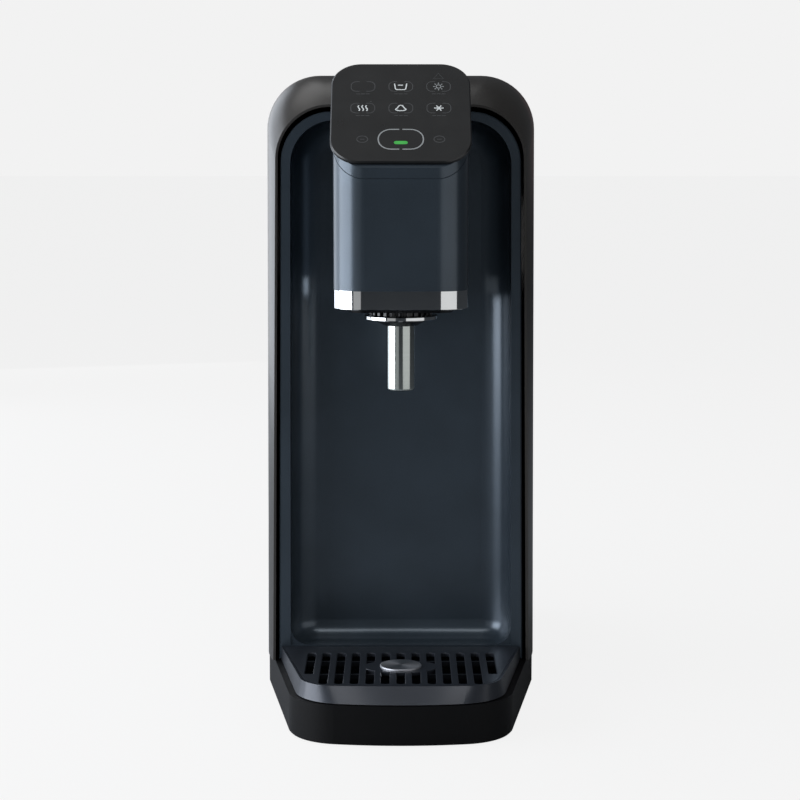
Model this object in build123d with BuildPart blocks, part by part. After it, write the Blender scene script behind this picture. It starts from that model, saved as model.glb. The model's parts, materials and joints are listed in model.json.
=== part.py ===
from build123d import *
import os
from math import cos, radians, sin

# Countertop water dispenser: a slim arched housing, a sloped control head over a
# dispensing bay, and a black base with a lift-out drip tray.
# Millimetres, +Z up, front towards -Y, origin at the middle of the footprint.

os.makedirs("parts", exist_ok=True)

# ---- driving dimensions -------------------------------------------------------
half_foot = 91.5            # half of the housing's width at its foot
half_top = 90.0             # the same at the shoulders, for moulding draft
front = -195.0              # front of the base
rear = 190.5                # outer face of the rear cover
taper_start = -40.0         # widest plane of the housing, where the base starts to narrow
taper = 0.165               # how fast each side of the base comes in towards the front
base_bow = 9.5              # how far the base's front curves forward in the middle
rim_y = -80.0               # front edge of the housing shell
wall_y = -54.0              # back wall of the dispensing bay
shell_top = 419.0
shoulder = 36.0             # radius of the arch corners
shell_wall = 2.5

foot_height = 3.0
skirt_bottom = 0.7          # lower edge of the base, round the sunken plate
plate_top = 5.0
deck = 26.0                 # top of the base, where the shell stands

head_half = 42.3
head_front = -168.0
head_corner = 20.0
head_shoulder = 10.0        # rounding along the head's upper side edges
band_bottom = 270.6
band_top = 282.3
head_rear = -36.0
nozzle_y = -134.0

panel_slope = 46.0          # degrees from level
panel_length = 86.5
panel_width = 88.0
panel_corner = 19.0
panel_thick = 2.4
panel_foot = 362.0          # height of the panel's lower edge, at the head's front
slope = radians(panel_slope)
head_top = panel_foot + panel_length * sin(slope) - panel_thick

tray_back = -81.0
tray_top = 36.0
slot_pitch = 9.85
slot_width = 5.5

fan_x, fan_z = -30.0, 84.0
filter_y, filter_x = 122.0, 25.0

# places of the fittings on the rear cover
fitting_z = 62.0
drain_x, inlet_x = 44.0, 68.0
power_x, power_z = 55.0, 94.0
hot_x, cold_x, switch_z = 44.0, 66.0, 134.0
pivot_y = rear - 0.5        # axis that the switch rockers tilt on

screw_radius = 1.6
rear_screws = ((75, 60), (-75, 60), (75, 160), (-75, 160))
front_screws = ((48, -120), (-48, -120))
cover_screws = ((84, 75), (-84, 75), (84, 240), (-84, 240), (50, 411.5), (-50, 411.5))
feet = ((46, -165), (-46, -165), (68, 176), (-68, 176))


# ---- shared outlines ------------------------------------------------------------
def side_half(y):
    """Half width of the base at a given depth."""
    return half_foot - taper * max(0.0, taper_start - y)


def arch(foot_half, shoulder_half, foot, top, corner):
    """Arch outline: splayed sides, flat top, round shoulders."""
    with BuildSketch() as sketch:
        with BuildLine():
            Polyline(
                (-foot_half, foot),
                (foot_half, foot),
                (shoulder_half, top),
                (-shoulder_half, top),
                close=True,
            )
        make_face()
        fillet(sketch.vertices().group_by(Axis.Y)[-1], corner)
    return sketch.sketch


def front_plan(back, back_half, front_half, nose, bow, corner):
    """Plan that narrows from a straight back edge to a bowed front with round corners."""
    with BuildSketch() as sketch:
        with BuildLine():
            Polyline(
                (-front_half, nose + bow),
                (-back_half, back),
                (back_half, back),
                (front_half, nose + bow),
            )
            ThreePointArc((front_half, nose + bow), (0, nose), (-front_half, nose + bow))
        make_face()
        fillet(sketch.vertices().filter_by(lambda corner_point: corner_point.Y < nose + bow + 1), corner)
    return sketch.sketch


def base_plan(inset):
    """Plan of the whole base, straight at the rear and narrowing in front."""
    nose = front + inset
    wide = half_foot - inset
    narrow = side_half(front + base_bow) - inset
    with BuildSketch() as sketch:
        with BuildLine():
            Polyline(
                (-narrow, nose + base_bow),
                (-wide, taper_start),
                (-wide, rear - inset),
                (wide, rear - inset),
                (wide, taper_start),
                (narrow, nose + base_bow),
            )
            ThreePointArc((narrow, nose + base_bow), (0, nose), (-narrow, nose + base_bow))
        make_face()
        front_corners = sketch.vertices().filter_by(lambda corner_point: corner_point.Y < nose + base_bow + 1)
        fillet(front_corners, 36 - inset)
    return sketch.sketch


def tray_plan(inset):
    """Plan of the part of the base that the drip tray drops into."""
    back = tray_back + 1.5 - (inset - 5.5)
    front_half = side_half(front + base_bow) - inset
    return front_plan(back, side_half(back) - inset, front_half, front + inset, base_bow, 37 - inset)


def tray_rim_plan(inset):
    """Plan of the drip tray's upper edge."""
    return front_plan(tray_back - inset, 80.7 - inset, 60.5 - inset, -183.4 + inset, 2.0, 24 - inset)


def head_plan(inset, back=head_rear):
    """Plan of the dispensing head: square behind, round corners in front."""
    with BuildSketch() as sketch:
        with BuildLine():
            Polyline(
                (-head_half + inset, back),
                (head_half - inset, back),
                (head_half - inset, head_front + inset),
                (-head_half + inset, head_front + inset),
                close=True,
            )
        make_face()
        fillet(sketch.vertices().group_by(Axis.Y)[0], head_corner - inset)
    return sketch.sketch


# ---- base ------------------------------------------------------------------------
base_wall = 3.0
with BuildPart() as base_housing:
    with BuildSketch(Plane.XY.offset(skirt_bottom)):
        add(base_plan(0))
    extrude(amount=deck - skirt_bottom)
    chamfer(base_housing.faces().sort_by(Axis.Z)[0].outer_wire().edges(), 1.2)
    # recess that the plate screws up into
    with BuildSketch(Plane.XY.offset(skirt_bottom)):
        add(base_plan(3.0))
    extrude(amount=plate_top - skirt_bottom, mode=Mode.SUBTRACT)
    # open underside behind the tray well
    with BuildSketch(Plane.XY.offset(plate_top)):
        with BuildLine():
            Polyline(
                (-side_half(-70) + 4, -70),
                (side_half(-70) - 4, -70),
                (half_foot - base_wall, taper_start),
                (half_foot - base_wall, rear - base_wall),
                (-half_foot + base_wall, rear - base_wall),
                (-half_foot + base_wall, taper_start),
                close=True,
            )
        make_face()
    extrude(amount=deck - 2.5 - plate_top, mode=Mode.SUBTRACT)
    # well for the drip tray
    with BuildSketch(Plane.XY.offset(8)):
        add(tray_plan(5.5))
    extrude(amount=deck, mode=Mode.SUBTRACT)
    # screw posts
    with BuildSketch(Plane.XY.offset(plate_top)):
        with Locations(*rear_screws):
            Circle(4.5)
    extrude(amount=deck - 2.0 - plate_top)
    with BuildSketch(Plane.XY.offset(plate_top)):
        with Locations(*rear_screws):
            Circle(screw_radius)
    extrude(amount=12, mode=Mode.SUBTRACT)
    with BuildSketch(Plane.XY.offset(plate_top)):
        with Locations(*front_screws):
            Circle(screw_radius)
    extrude(amount=2.2, mode=Mode.SUBTRACT)
    # water and cable passage through the deck
    with BuildSketch(Plane.XY.offset(deck - 3)):
        with Locations((52, 120)):
            SlotOverall(40, 14)
    extrude(amount=5, mode=Mode.SUBTRACT)
base_housing.part.label = "base_housing"
export_step(base_housing.part, "parts/base_housing.step")

with BuildPart() as base_plate:
    with BuildSketch(Plane.XY.offset(foot_height)):
        add(base_plan(3.3))
    extrude(amount=plate_top - foot_height)
    with BuildSketch(Plane.XY.offset(foot_height)):
        with Locations(*rear_screws, *front_screws):
            Circle(screw_radius + 0.3)
    extrude(amount=plate_top, mode=Mode.SUBTRACT)
    with BuildSketch(Plane.XY.offset(foot_height)):
        with Locations((-30, 105)):
            with GridLocations(14, 0, 6, 1):
                SlotOverall(50, 5, rotation=90)
    extrude(amount=plate_top, mode=Mode.SUBTRACT)
base_plate.part.label = "base_plate"
export_step(base_plate.part, "parts/base_plate.step")

with BuildPart() as rubber_feet:
    with BuildSketch():
        with Locations(*feet):
            Circle(9)
    extrude(amount=foot_height)
    chamfer(rubber_feet.edges().group_by(Axis.Z)[0], 0.8)
rubber_feet.part.label = "rubber_feet"
export_step(rubber_feet.part, "parts/rubber_feet.step")

with BuildPart() as base_screws:
    with BuildSketch(Plane.XY.offset(foot_height - 1.6)):
        with Locations(*rear_screws, *front_screws):
            Circle(3.2)
    extrude(amount=1.6)
    with BuildSketch(Plane.XY.offset(foot_height)):
        with Locations(*rear_screws):
            Circle(screw_radius)
    extrude(amount=11)
    with BuildSketch(Plane.XY.offset(foot_height)):
        with Locations(*front_screws):
            Circle(screw_radius)
    extrude(amount=4)
base_screws.part.label = "base_screws"
export_step(base_screws.part, "parts/base_screws.step")


# ---- housing shell -----------------------------------------------------------------
def shell_sections(inset):
    """Three arches, from the widest plane to the front rim, that round the front shoulder."""
    return (
        (taper_start, arch(half_foot - inset, half_top - inset, deck, shell_top - inset, shoulder - inset)),
        (-60.0, arch(90.6 - inset, 87.6 - inset, deck, 413.0 - inset, shoulder - inset)),
        (rim_y, arch(86.4 - inset, 82.2 - inset, deck, 399.0 - inset, shoulder - inset)),
    )


cover_face = rear - 2.5     # where the rear cover meets the shell
with BuildPart() as shell_core:
    with BuildSketch(Plane.XZ.offset(-taper_start)):
        add(shell_sections(shell_wall)[0][1])
    extrude(amount=taper_start - rear)
    for y, outline in shell_sections(shell_wall):
        with BuildSketch(Plane.XZ.offset(-y)):
            add(outline)
    loft()
    with BuildSketch(Plane.XZ.offset(-rim_y)):
        add(arch(84.8, 80.6, deck, 397.4, shoulder - 1.6))
    extrude(amount=10, both=True)

with BuildPart() as housing_shell:
    with BuildSketch(Plane.XZ.offset(-taper_start)):
        add(shell_sections(0)[0][1])
    extrude(amount=taper_start - cover_face)
    for y, outline in shell_sections(0):
        with BuildSketch(Plane.XZ.offset(-y)):
            add(outline)
    loft()
    add(shell_core.part, mode=Mode.SUBTRACT)
    # notch that the head sits in
    with BuildSketch(Plane.XZ.offset(-rim_y + 4.0)):
        add(arch(head_half + 0.3, head_half + 0.3, 300, head_top + 0.3, head_shoulder + 0.3))
    extrude(amount=rim_y - 4.0 - head_rear - 0.3, mode=Mode.SUBTRACT)
    # opening over the filters, with a ledge for the lid
    with BuildSketch(Plane.XY.offset(shell_top - 5.5)):
        with Locations((0, filter_y + 3)):
            RectangleRounded(112, 114, 8)
    extrude(amount=3.0)
    with BuildSketch(Plane.XY.offset(shell_top - 2.5)):
        with Locations((0, filter_y + 3)):
            RectangleRounded(104, 106, 6)
    extrude(amount=5, mode=Mode.SUBTRACT)
    with BuildSketch(Plane.XY.offset(shell_top - 10)):
        with Locations((0, filter_y + 3)):
            RectangleRounded(98, 100, 4)
    extrude(amount=15, mode=Mode.SUBTRACT)
    # posts for the rear cover's screws
    with BuildSketch(Plane.XZ.offset(-cover_face)):
        with Locations(*cover_screws):
            Circle(5.5)
    extrude(amount=8)
    with BuildSketch(Plane.XZ.offset(-cover_face)):
        with Locations(*cover_screws):
            Circle(screw_radius)
    extrude(amount=9, mode=Mode.SUBTRACT)
housing_shell.part.label = "housing_shell"
export_step(housing_shell.part, "parts/housing_shell.step")

with BuildPart() as filter_cover:
    with BuildSketch(Plane.XY.offset(shell_top - 2.5)):
        with Locations((0, filter_y + 3)):
            RectangleRounded(103.2, 105.2, 5.6)
    extrude(amount=2.5)
    fillet(filter_cover.edges().group_by(Axis.Z)[-1], 0.5)
    with BuildSketch(Plane.XY.offset(shell_top - 6.5)):
        with Locations((0, filter_y + 3)):
            RectangleRounded(97.2, 99.2, 3.6)
            RectangleRounded(93.2, 95.2, 2.0, mode=Mode.SUBTRACT)
    extrude(amount=4.0)
    # finger dip along the front edge
    with BuildSketch(Plane.XY.offset(shell_top - 1.4)):
        with Locations((0, filter_y - 46)):
            SlotOverall(34, 9)
    extrude(amount=3, mode=Mode.SUBTRACT)
filter_cover.part.label = "filter_cover"
export_step(filter_cover.part, "parts/filter_cover.step")

with BuildPart() as rear_cover:
    with BuildSketch(Plane.XZ.offset(-cover_face)):
        add(shell_sections(0)[0][1])
    extrude(amount=cover_face - rear)
    fillet(rear_cover.faces().sort_by(Axis.Y)[-1].outer_wire().edges(), 1.4)
    # air outlets in front of the fan, and inlets near the top
    with BuildSketch(Plane.XZ.offset(-186.0)):
        with Locations((fan_x, fan_z)):
            with GridLocations(0, 8.0, 1, 11):
                SlotOverall(84, 3.6)
        with Locations((0, 300)):
            with GridLocations(10.0, 0, 11, 1):
                SlotOverall(56, 3.4, rotation=90)
    extrude(amount=-8, mode=Mode.SUBTRACT)
    # switch, inlet and water fitting openings
    with BuildSketch(Plane.XZ.offset(-186.0)):
        with Locations((hot_x, switch_z), (cold_x, switch_z)):
            RectangleRounded(14.4, 22.4, 0.6)
        with Locations((power_x, power_z)):
            RectangleRounded(28.4, 20.4, 2)
        with Locations((drain_x, fitting_z), (inlet_x, fitting_z)):
            Circle(7.2)
        with Locations(*cover_screws):
            Circle(screw_radius + 0.3)
    extrude(amount=-8, mode=Mode.SUBTRACT)
rear_cover.part.label = "rear_cover"
export_step(rear_cover.part, "parts/rear_cover.step")

with BuildPart() as rear_cover_screws:
    with BuildSketch(Plane.XZ.offset(-rear)):
        with Locations(*cover_screws):
            Circle(3.4)
    extrude(amount=-1.8)
    with BuildSketch(Plane.XZ.offset(-rear)):
        with Locations(*cover_screws):
            Circle(screw_radius)
    extrude(amount=10)
rear_cover_screws.part.label = "rear_cover_screws"
export_step(rear_cover_screws.part, "parts/rear_cover_screws.step")

# ---- recess liner --------------------------------------------------------------------
recess_depth = wall_y + 79.0
with BuildPart() as bay:
    with BuildSketch(Plane.XZ.offset(79.0)):
        add(arch(74.6, 72.7, tray_top + 0.4, 388.6, 29))
    extrude(amount=-recess_depth)
    fillet(bay.faces().sort_by(Axis.Y)[-1].edges().sort_by(Axis.Z)[1:], 19)
    fillet(bay.faces().sort_by(Axis.Z)[0].edges().sort_by(Axis.Y)[-1], 12)

with BuildPart() as front_liner:
    with BuildSketch(Plane.XZ.offset(79.0)):
        add(arch(76.8, 74.9, tray_top - 2.0, 390.8, 31.2))
    extrude(amount=-recess_depth - 2.2)
    fillet(front_liner.faces().sort_by(Axis.Y)[-1].edges().sort_by(Axis.Z)[1:], 21)
    with BuildSketch(Plane.XZ.offset(79.0)):
        add(arch(82.4, 78.8, deck + 0.6, 394.4, 33.5))
    extrude(amount=-2.4)
    chamfer(front_liner.faces().sort_by(Axis.Y)[0].outer_wire().edges(), 0.9)
    add(bay.part, mode=Mode.SUBTRACT)
    with BuildSketch(Plane.XZ.offset(90.0)):
        add(arch(74.6, 72.7, tray_top + 0.4, 388.6, 29))
    extrude(amount=-12, mode=Mode.SUBTRACT)
    # notch and window for the head
    with BuildSketch(Plane.XY.offset(367)):
        with Locations((0, -66)):
            Rectangle(2 * head_half + 0.6, 40)
    extrude(amount=40, mode=Mode.SUBTRACT)
    with BuildSketch(Plane.XZ.offset(70.0)):
        with Locations((0, 328)):
            RectangleRounded(56, 84, 6)
    extrude(amount=-40, mode=Mode.SUBTRACT)
front_liner.part.label = "front_liner"
export_step(front_liner.part, "parts/front_liner.step")


# ---- dispensing head -------------------------------------------------------------------
across = (1, 0, 0)
normal = (0, -sin(slope), cos(slope))


def sloped_plane(drop):
    """Plane along the control panel, a distance below its face, centred on the panel."""
    along = panel_length / 2
    y = head_front + along * cos(slope) + drop * sin(slope)
    z = panel_foot + along * sin(slope) - drop * cos(slope)
    return Plane(origin=(0, y, z), x_dir=across, z_dir=normal)


def seam_edges(piece):
    """Outer edges of the piece's face along the sloped seam."""
    lowest = piece.faces().sort_by(Axis(origin=(0, 0, 0), direction=normal))[0]
    return lowest.outer_wire().edges()


def slope_y(z, drop):
    """Depth at which the sloped plane, a distance below the panel's face, reaches a height."""
    return head_front + (z - panel_foot + drop / cos(slope)) * cos(slope) / sin(slope)


cap_drop = 7.4
led_up = 16.5 - panel_length / 2     # the light bar's place up the slope

with BuildPart() as head_block:
    with BuildSketch(Plane.XY.offset(band_top)):
        add(head_plan(0))
    extrude(amount=150)
    with BuildSketch(Plane.YZ):
        with BuildLine():
            Polyline(
                (slope_y(panel_foot - 8, panel_thick), band_top),
                (slope_y(panel_foot - 8, panel_thick), panel_foot - 8),
                (slope_y(head_top, panel_thick), head_top),
                (slope_y(head_top, panel_thick) + 24, head_top),
                (head_rear, shell_top + 0.2),
                (head_rear, 386.0),
                (wall_y - 0.4, 386.0),
                (wall_y - 0.4, band_top),
                close=True,
            )
        make_face()
    extrude(amount=60, both=True, mode=Mode.INTERSECT)
    with BuildSketch(Plane.XZ.offset(-head_rear)):
        add(arch(head_half, head_half, band_top, head_top, head_shoulder))
    extrude(amount=-head_front, mode=Mode.INTERSECT)

with BuildPart() as head_core:
    with BuildSketch(Plane.XY.offset(band_top - 1)):
        add(head_plan(2.2, head_rear - 2.2))
    extrude(amount=150)
    with BuildSketch(Plane.YZ):
        with BuildLine():
            Polyline(
                (head_front - 5, band_top - 1),
                (head_front - 5, head_top + 10),
                (slope_y(head_top, cap_drop) + 2, head_top + 10),
                (slope_y(head_top, cap_drop) + 2, head_top - 2.4),
                (slope_y(head_top, cap_drop) + 12, head_top - 2.4),
                (head_rear, shell_top - 2.2),
                (head_rear, 388.2),
                (wall_y - 2.6, 388.2),
                (wall_y + 5, 384.0),
                (wall_y + 5, band_top - 1),
                close=True,
            )
        make_face()
    extrude(amount=60, both=True, mode=Mode.INTERSECT)
    with BuildSketch(Plane.XZ.offset(-head_rear - 5)):
        add(arch(head_half - 2.2, head_half - 2.2, band_top - 1, head_top - 2.2, head_shoulder - 2.2))
    extrude(amount=-head_front, mode=Mode.INTERSECT)

with BuildPart() as head_cover:
    add(head_block.part)
    split(bisect_by=sloped_plane(cap_drop), keep=Keep.BOTTOM)
    add(head_core.part, mode=Mode.SUBTRACT)
head_cover.part.label = "head_cover"
export_step(head_cover.part, "parts/head_cover.step")

with BuildPart() as head_cap:
    add(head_block.part)
    split(bisect_by=sloped_plane(cap_drop), keep=Keep.TOP)
    with BuildSketch(sloped_plane(cap_drop + 0.2)):
        with Locations((0, -1)):
            RectangleRounded(76, 66, 12)
    extrude(amount=2.4, mode=Mode.SUBTRACT)
    # groove along the seam with the head cover
    chamfer(seam_edges(head_cap), 0.5)
    with BuildSketch(sloped_plane(cap_drop)):
        with Locations((0, led_up)):
            SlotOverall(8.8, 3.0)
    extrude(amount=cap_drop, mode=Mode.SUBTRACT)
head_cap.part.label = "head_cap"
export_step(head_cap.part, "parts/head_cap.step")

with BuildPart() as control_panel:
    with BuildSketch(sloped_plane(panel_thick)):
        RectangleRounded(panel_width, panel_length, panel_corner)
    extrude(amount=panel_thick)
    chamfer(control_panel.faces().sort_by(Axis(origin=(0, 0, 0), direction=normal))[-1].edges(), 0.7)
    with BuildSketch(sloped_plane(panel_thick)):
        with Locations((0, led_up)):
            SlotOverall(8.8, 3.0)
    extrude(amount=panel_thick, mode=Mode.SUBTRACT)
control_panel.part.label = "control_panel"
export_step(control_panel.part, "parts/control_panel.step")

with BuildPart() as led_guide:
    with BuildSketch(sloped_plane(cap_drop + 1.4)):
        with Locations((0, led_up)):
            SlotOverall(8.6, 2.8)
    extrude(amount=cap_drop + 1.3)
led_guide.part.label = "led_guide"
export_step(led_guide.part, "parts/led_guide.step")

with BuildPart() as touch_board:
    with BuildSketch(sloped_plane(cap_drop + 3.2)):
        RectangleRounded(70, 58, 3)
        with Locations((-30, -24), (30, -24), (-30, 24), (30, 24)):
            Circle(1.6, mode=Mode.SUBTRACT)
    extrude(amount=1.6)
    with BuildSketch(sloped_plane(cap_drop + 5.0)):
        with GridLocations(22, 17, 3, 2):
            Rectangle(7, 5)
    extrude(amount=1.8)
touch_board.part.label = "touch_board"
export_step(touch_board.part, "parts/touch_board.step")

with BuildPart() as chrome_band:
    with BuildSketch(Plane.XY.offset(band_bottom)):
        add(head_plan(0, wall_y - 0.4))
        add(head_plan(2.9, wall_y + 5), mode=Mode.SUBTRACT)
    extrude(amount=band_top - band_bottom)
    chamfer(chrome_band.edges().group_by(Axis.Z)[0].filter_by(lambda edge: edge.length > 15), 0.4)
chrome_band.part.label = "chrome_band"
export_step(chrome_band.part, "parts/chrome_band.step")

underside = 268.2
ring_bottom = 265.6
ring_boss = 12.2
with BuildPart() as head_underside:
    with BuildSketch(Plane.XY.offset(band_bottom)):
        add(head_plan(3.0, wall_y - 0.4))
    extrude(amount=band_top - band_bottom - 1)
    with BuildSketch(Plane.XY.offset(band_bottom)):
        add(head_plan(7.5, wall_y - 0.4))
    with BuildSketch(Plane.XY.offset(underside)):
        add(head_plan(10.0, wall_y - 3))
    loft(ruled=True)
    with BuildSketch(Plane.XY.offset(band_bottom)):
        add(head_plan(5.2, wall_y - 3))
    extrude(amount=12, mode=Mode.SUBTRACT)
    with BuildSketch(Plane.XY.offset(underside)):
        with Locations((0, nozzle_y)):
            Circle(9.4)
    extrude(amount=12, mode=Mode.SUBTRACT)
    # boss that the lock ring turns on
    with BuildSketch(Plane.XY.offset(ring_bottom + 0.3)):
        with Locations((0, nozzle_y)):
            Circle(ring_boss)
            Circle(9.4, mode=Mode.SUBTRACT)
    extrude(amount=underside + 0.6 - ring_bottom)
head_underside.part.label = "head_underside"
export_step(head_underside.part, "parts/head_underside.step")

# ---- nozzle -------------------------------------------------------------------------------
flange_bottom = 262.5
tube_bottom = 217.0
tube_radius = 9.1
stem_radius = 8.0
stem_top = 284.0

with BuildPart() as nozzle_ring:
    with BuildSketch(Plane.XY.offset(ring_bottom)):
        with Locations((0, nozzle_y)):
            Circle(17.8)
            with PolarLocations(18.2, 24):
                RectangleRounded(3.2, 2.6, 0.5)
            Circle(ring_boss + 0.05, mode=Mode.SUBTRACT)
    extrude(amount=underside - 0.3 - ring_bottom)
nozzle_ring.part.label = "nozzle_ring"
export_step(nozzle_ring.part, "parts/nozzle_ring.step")

with BuildPart() as nozzle_flange:
    with BuildSketch(Plane.XY.offset(flange_bottom)):
        with Locations((0, nozzle_y)):
            Circle(23.3)
            Circle(tube_radius, mode=Mode.SUBTRACT)
    extrude(amount=ring_bottom - 0.3 - flange_bottom)
    chamfer(nozzle_flange.faces().sort_by(Axis.Z)[0].outer_wire().edges(), 0.5)
    chamfer(nozzle_flange.faces().sort_by(Axis.Z)[-1].outer_wire().edges(), 0.5)
nozzle_flange.part.label = "nozzle_flange"
export_step(nozzle_flange.part, "parts/nozzle_flange.step")

with BuildPart() as nozzle_collar:
    with BuildSketch(Plane.XZ):
        with BuildLine():
            Polyline(
                (tube_radius, flange_bottom),
                (16.6, flange_bottom),
                (15.8, flange_bottom - 1.2),
                (10.6, flange_bottom - 3.9),
                (tube_radius, flange_bottom - 3.9),
                close=True,
            )
        make_face()
    revolve(axis=Axis.Z)
nozzle_collar.part = nozzle_collar.part.moved(Location((0, nozzle_y, 0)))
nozzle_collar.part.label = "nozzle_collar"
export_step(nozzle_collar.part, "parts/nozzle_collar.step")

with BuildPart() as nozzle_tube:
    with BuildSketch(Plane.XY.offset(tube_bottom)):
        with Locations((0, nozzle_y)):
            Circle(tube_radius)
    extrude(amount=ring_bottom - 0.3 - tube_bottom)
    with BuildSketch(Plane.XY.offset(ring_bottom - 0.3)):
        with Locations((0, nozzle_y)):
            Circle(stem_radius)
    extrude(amount=stem_top - ring_bottom + 0.3)
    with BuildSketch(Plane.XY.offset(tube_bottom)):
        with Locations((0, nozzle_y)):
            Circle(5.6)
    extrude(amount=80, mode=Mode.SUBTRACT)
    fillet(nozzle_tube.edges().group_by(Axis.Z)[0].sort_by(SortBy.RADIUS)[-1], 1.4)
    # seat for the O-ring near the top of the stem
    with BuildSketch(Plane.XY.offset(stem_top - 5)):
        with Locations((0, nozzle_y)):
            Circle(stem_radius)
            Circle(stem_radius - 1.2, mode=Mode.SUBTRACT)
    extrude(amount=2.2, mode=Mode.SUBTRACT)
nozzle_tube.part.label = "nozzle_tube"
export_step(nozzle_tube.part, "parts/nozzle_tube.step")

with BuildPart() as nozzle_seal:
    with BuildSketch(Plane.XY.offset(stem_top - 5)):
        with Locations((0, nozzle_y)):
            Circle(stem_radius + 0.3)
            Circle(stem_radius - 1.2, mode=Mode.SUBTRACT)
    extrude(amount=2.2)
nozzle_seal.part.label = "nozzle_seal"
export_step(nozzle_seal.part, "parts/nozzle_seal.step")

with BuildPart() as outlet_block:
    with BuildSketch(Plane.XY.offset(band_bottom + 1.6)):
        with Locations((0, nozzle_y)):
            Circle(15)
            Circle(9.4, mode=Mode.SUBTRACT)
    extrude(amount=stem_top + 4 - band_bottom - 1.6)
    with BuildSketch(Plane.XY.offset(stem_top + 4)):
        with Locations((0, nozzle_y)):
            Circle(15)
    extrude(amount=16)
    with BuildSketch(Plane.XZ.offset(-nozzle_y - 14)):
        with Locations((-7, stem_top + 12), (7, stem_top + 12)):
            Circle(4.2)
    extrude(amount=-12)
outlet_block.part.label = "outlet_block"
export_step(outlet_block.part, "parts/outlet_block.step")

# ---- drip tray -----------------------------------------------------------------------------
ledge = tray_top - 2.6
with BuildPart() as drip_tray:
    with BuildSketch(Plane.XY.offset(8.0)):
        add(tray_plan(6.2))
    extrude(amount=deck + 1.6 - 8.0)
    with BuildSketch(Plane.XY.offset(deck + 0.6)):
        add(front_plan(tray_back, 80.7, 63.4, -193.6, base_bow - 1.0, 34))
    with BuildSketch(Plane.XY.offset(tray_top)):
        add(tray_rim_plan(0))
    loft(ruled=True)
    with BuildSketch(Plane.XY.offset(10.0)):
        add(tray_plan(8.4))
    extrude(amount=deck - 10.0, mode=Mode.SUBTRACT)
    with BuildSketch(Plane.XY.offset(deck - 1)):
        add(tray_rim_plan(4.0))
    extrude(amount=12, mode=Mode.SUBTRACT)
    with BuildSketch(Plane.XY.offset(ledge)):
        add(tray_rim_plan(1.1))
    extrude(amount=5, mode=Mode.SUBTRACT)
drip_tray.part.label = "drip_tray"
export_step(drip_tray.part, "parts/drip_tray.step")

with BuildPart() as drip_grille:
    with BuildSketch(Plane.XY.offset(ledge)):
        add(tray_rim_plan(1.5))
    extrude(amount=tray_top - ledge)
    with BuildSketch(Plane.XY.offset(ledge)):
        with Locations((0, -138.3)):
            with GridLocations(slot_pitch, 0, 11, 1):
                SlotOverall(78.6, slot_width, rotation=90)
        with Locations((-6 * slot_pitch, -126.5), (6 * slot_pitch, -126.5)):
            SlotOverall(55, slot_width, rotation=90)
        with Locations((0, nozzle_y)):
            Ellipse(24.8, 15.5, mode=Mode.SUBTRACT)
    extrude(amount=5, mode=Mode.SUBTRACT)
    slotted_face = drip_grille.faces().sort_by(Axis.Z)[-1]
    chamfer([edge for slot in slotted_face.inner_wires() for edge in slot.edges()], 0.4)
    # stiffening ribs under the slots
    with BuildSketch(Plane.XY.offset(ledge - 3)):
        with Locations((0, -145), (0, -112)):
            Rectangle(126, 1.8)
    extrude(amount=3.2)
drip_grille.part.label = "drip_grille"
export_step(drip_grille.part, "parts/drip_grille.step")

# metal target under the nozzle
with BuildPart() as grille_disc:
    with BuildSketch(Plane.XY.offset(tray_top)):
        with Locations((0, nozzle_y)):
            Circle(13.5)
    extrude(amount=1.3)
    fillet(grille_disc.edges().group_by(Axis.Z)[-1], 0.8)
grille_disc.part.label = "grille_disc"
export_step(grille_disc.part, "parts/grille_disc.step")


# ---- inner frame and filters -----------------------------------------------------------------
shelf = 168.0
with BuildPart() as inner_frame:
    with BuildSketch(Plane.XY.offset(deck)):
        with Locations((0, 57)):
            Rectangle(168, 3)
    extrude(amount=shelf + 3 - deck)
    with BuildSketch(Plane.XY.offset(shelf)):
        with Locations((0, 116.5)):
            Rectangle(168, 122)
    extrude(amount=3)
    with BuildSketch(Plane.XY.offset(shelf)):
        with Locations((56, 152)):
            SlotOverall(40, 16)
    extrude(amount=3, mode=Mode.SUBTRACT)
    with BuildSketch(Plane.XZ.offset(-50.0)):
        with Locations((50, 100)):
            RectangleRounded(40, 80, 6)
    extrude(amount=-12, mode=Mode.SUBTRACT)
    with BuildSketch(Plane.XY.offset(deck)):
        with Locations((-82.5, 116.5), (82.5, 116.5)):
            Rectangle(3, 116)
    extrude(amount=shelf - deck + 1)
inner_frame.part.label = "inner_frame"
export_step(inner_frame.part, "parts/inner_frame.step")

manifold_top = shelf + 17.0
with BuildPart() as filter_manifold:
    with BuildSketch(Plane.XY.offset(shelf + 3)):
        with Locations((0, filter_y)):
            RectangleRounded(110, 56, 10)
    extrude(amount=manifold_top - shelf - 3)
    with BuildSketch(Plane.XY.offset(manifold_top - 8)):
        with Locations((-filter_x, filter_y), (filter_x, filter_y)):
            Circle(15.4)
    extrude(amount=10, mode=Mode.SUBTRACT)
    with BuildSketch(Plane.XZ.offset(-filter_y + 28)):
        with Locations((-38, shelf + 10), (38, shelf + 10)):
            Circle(4.6)
    extrude(amount=9)
filter_manifold.part.label = "filter_manifold"
export_step(filter_manifold.part, "parts/filter_manifold.step")


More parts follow.
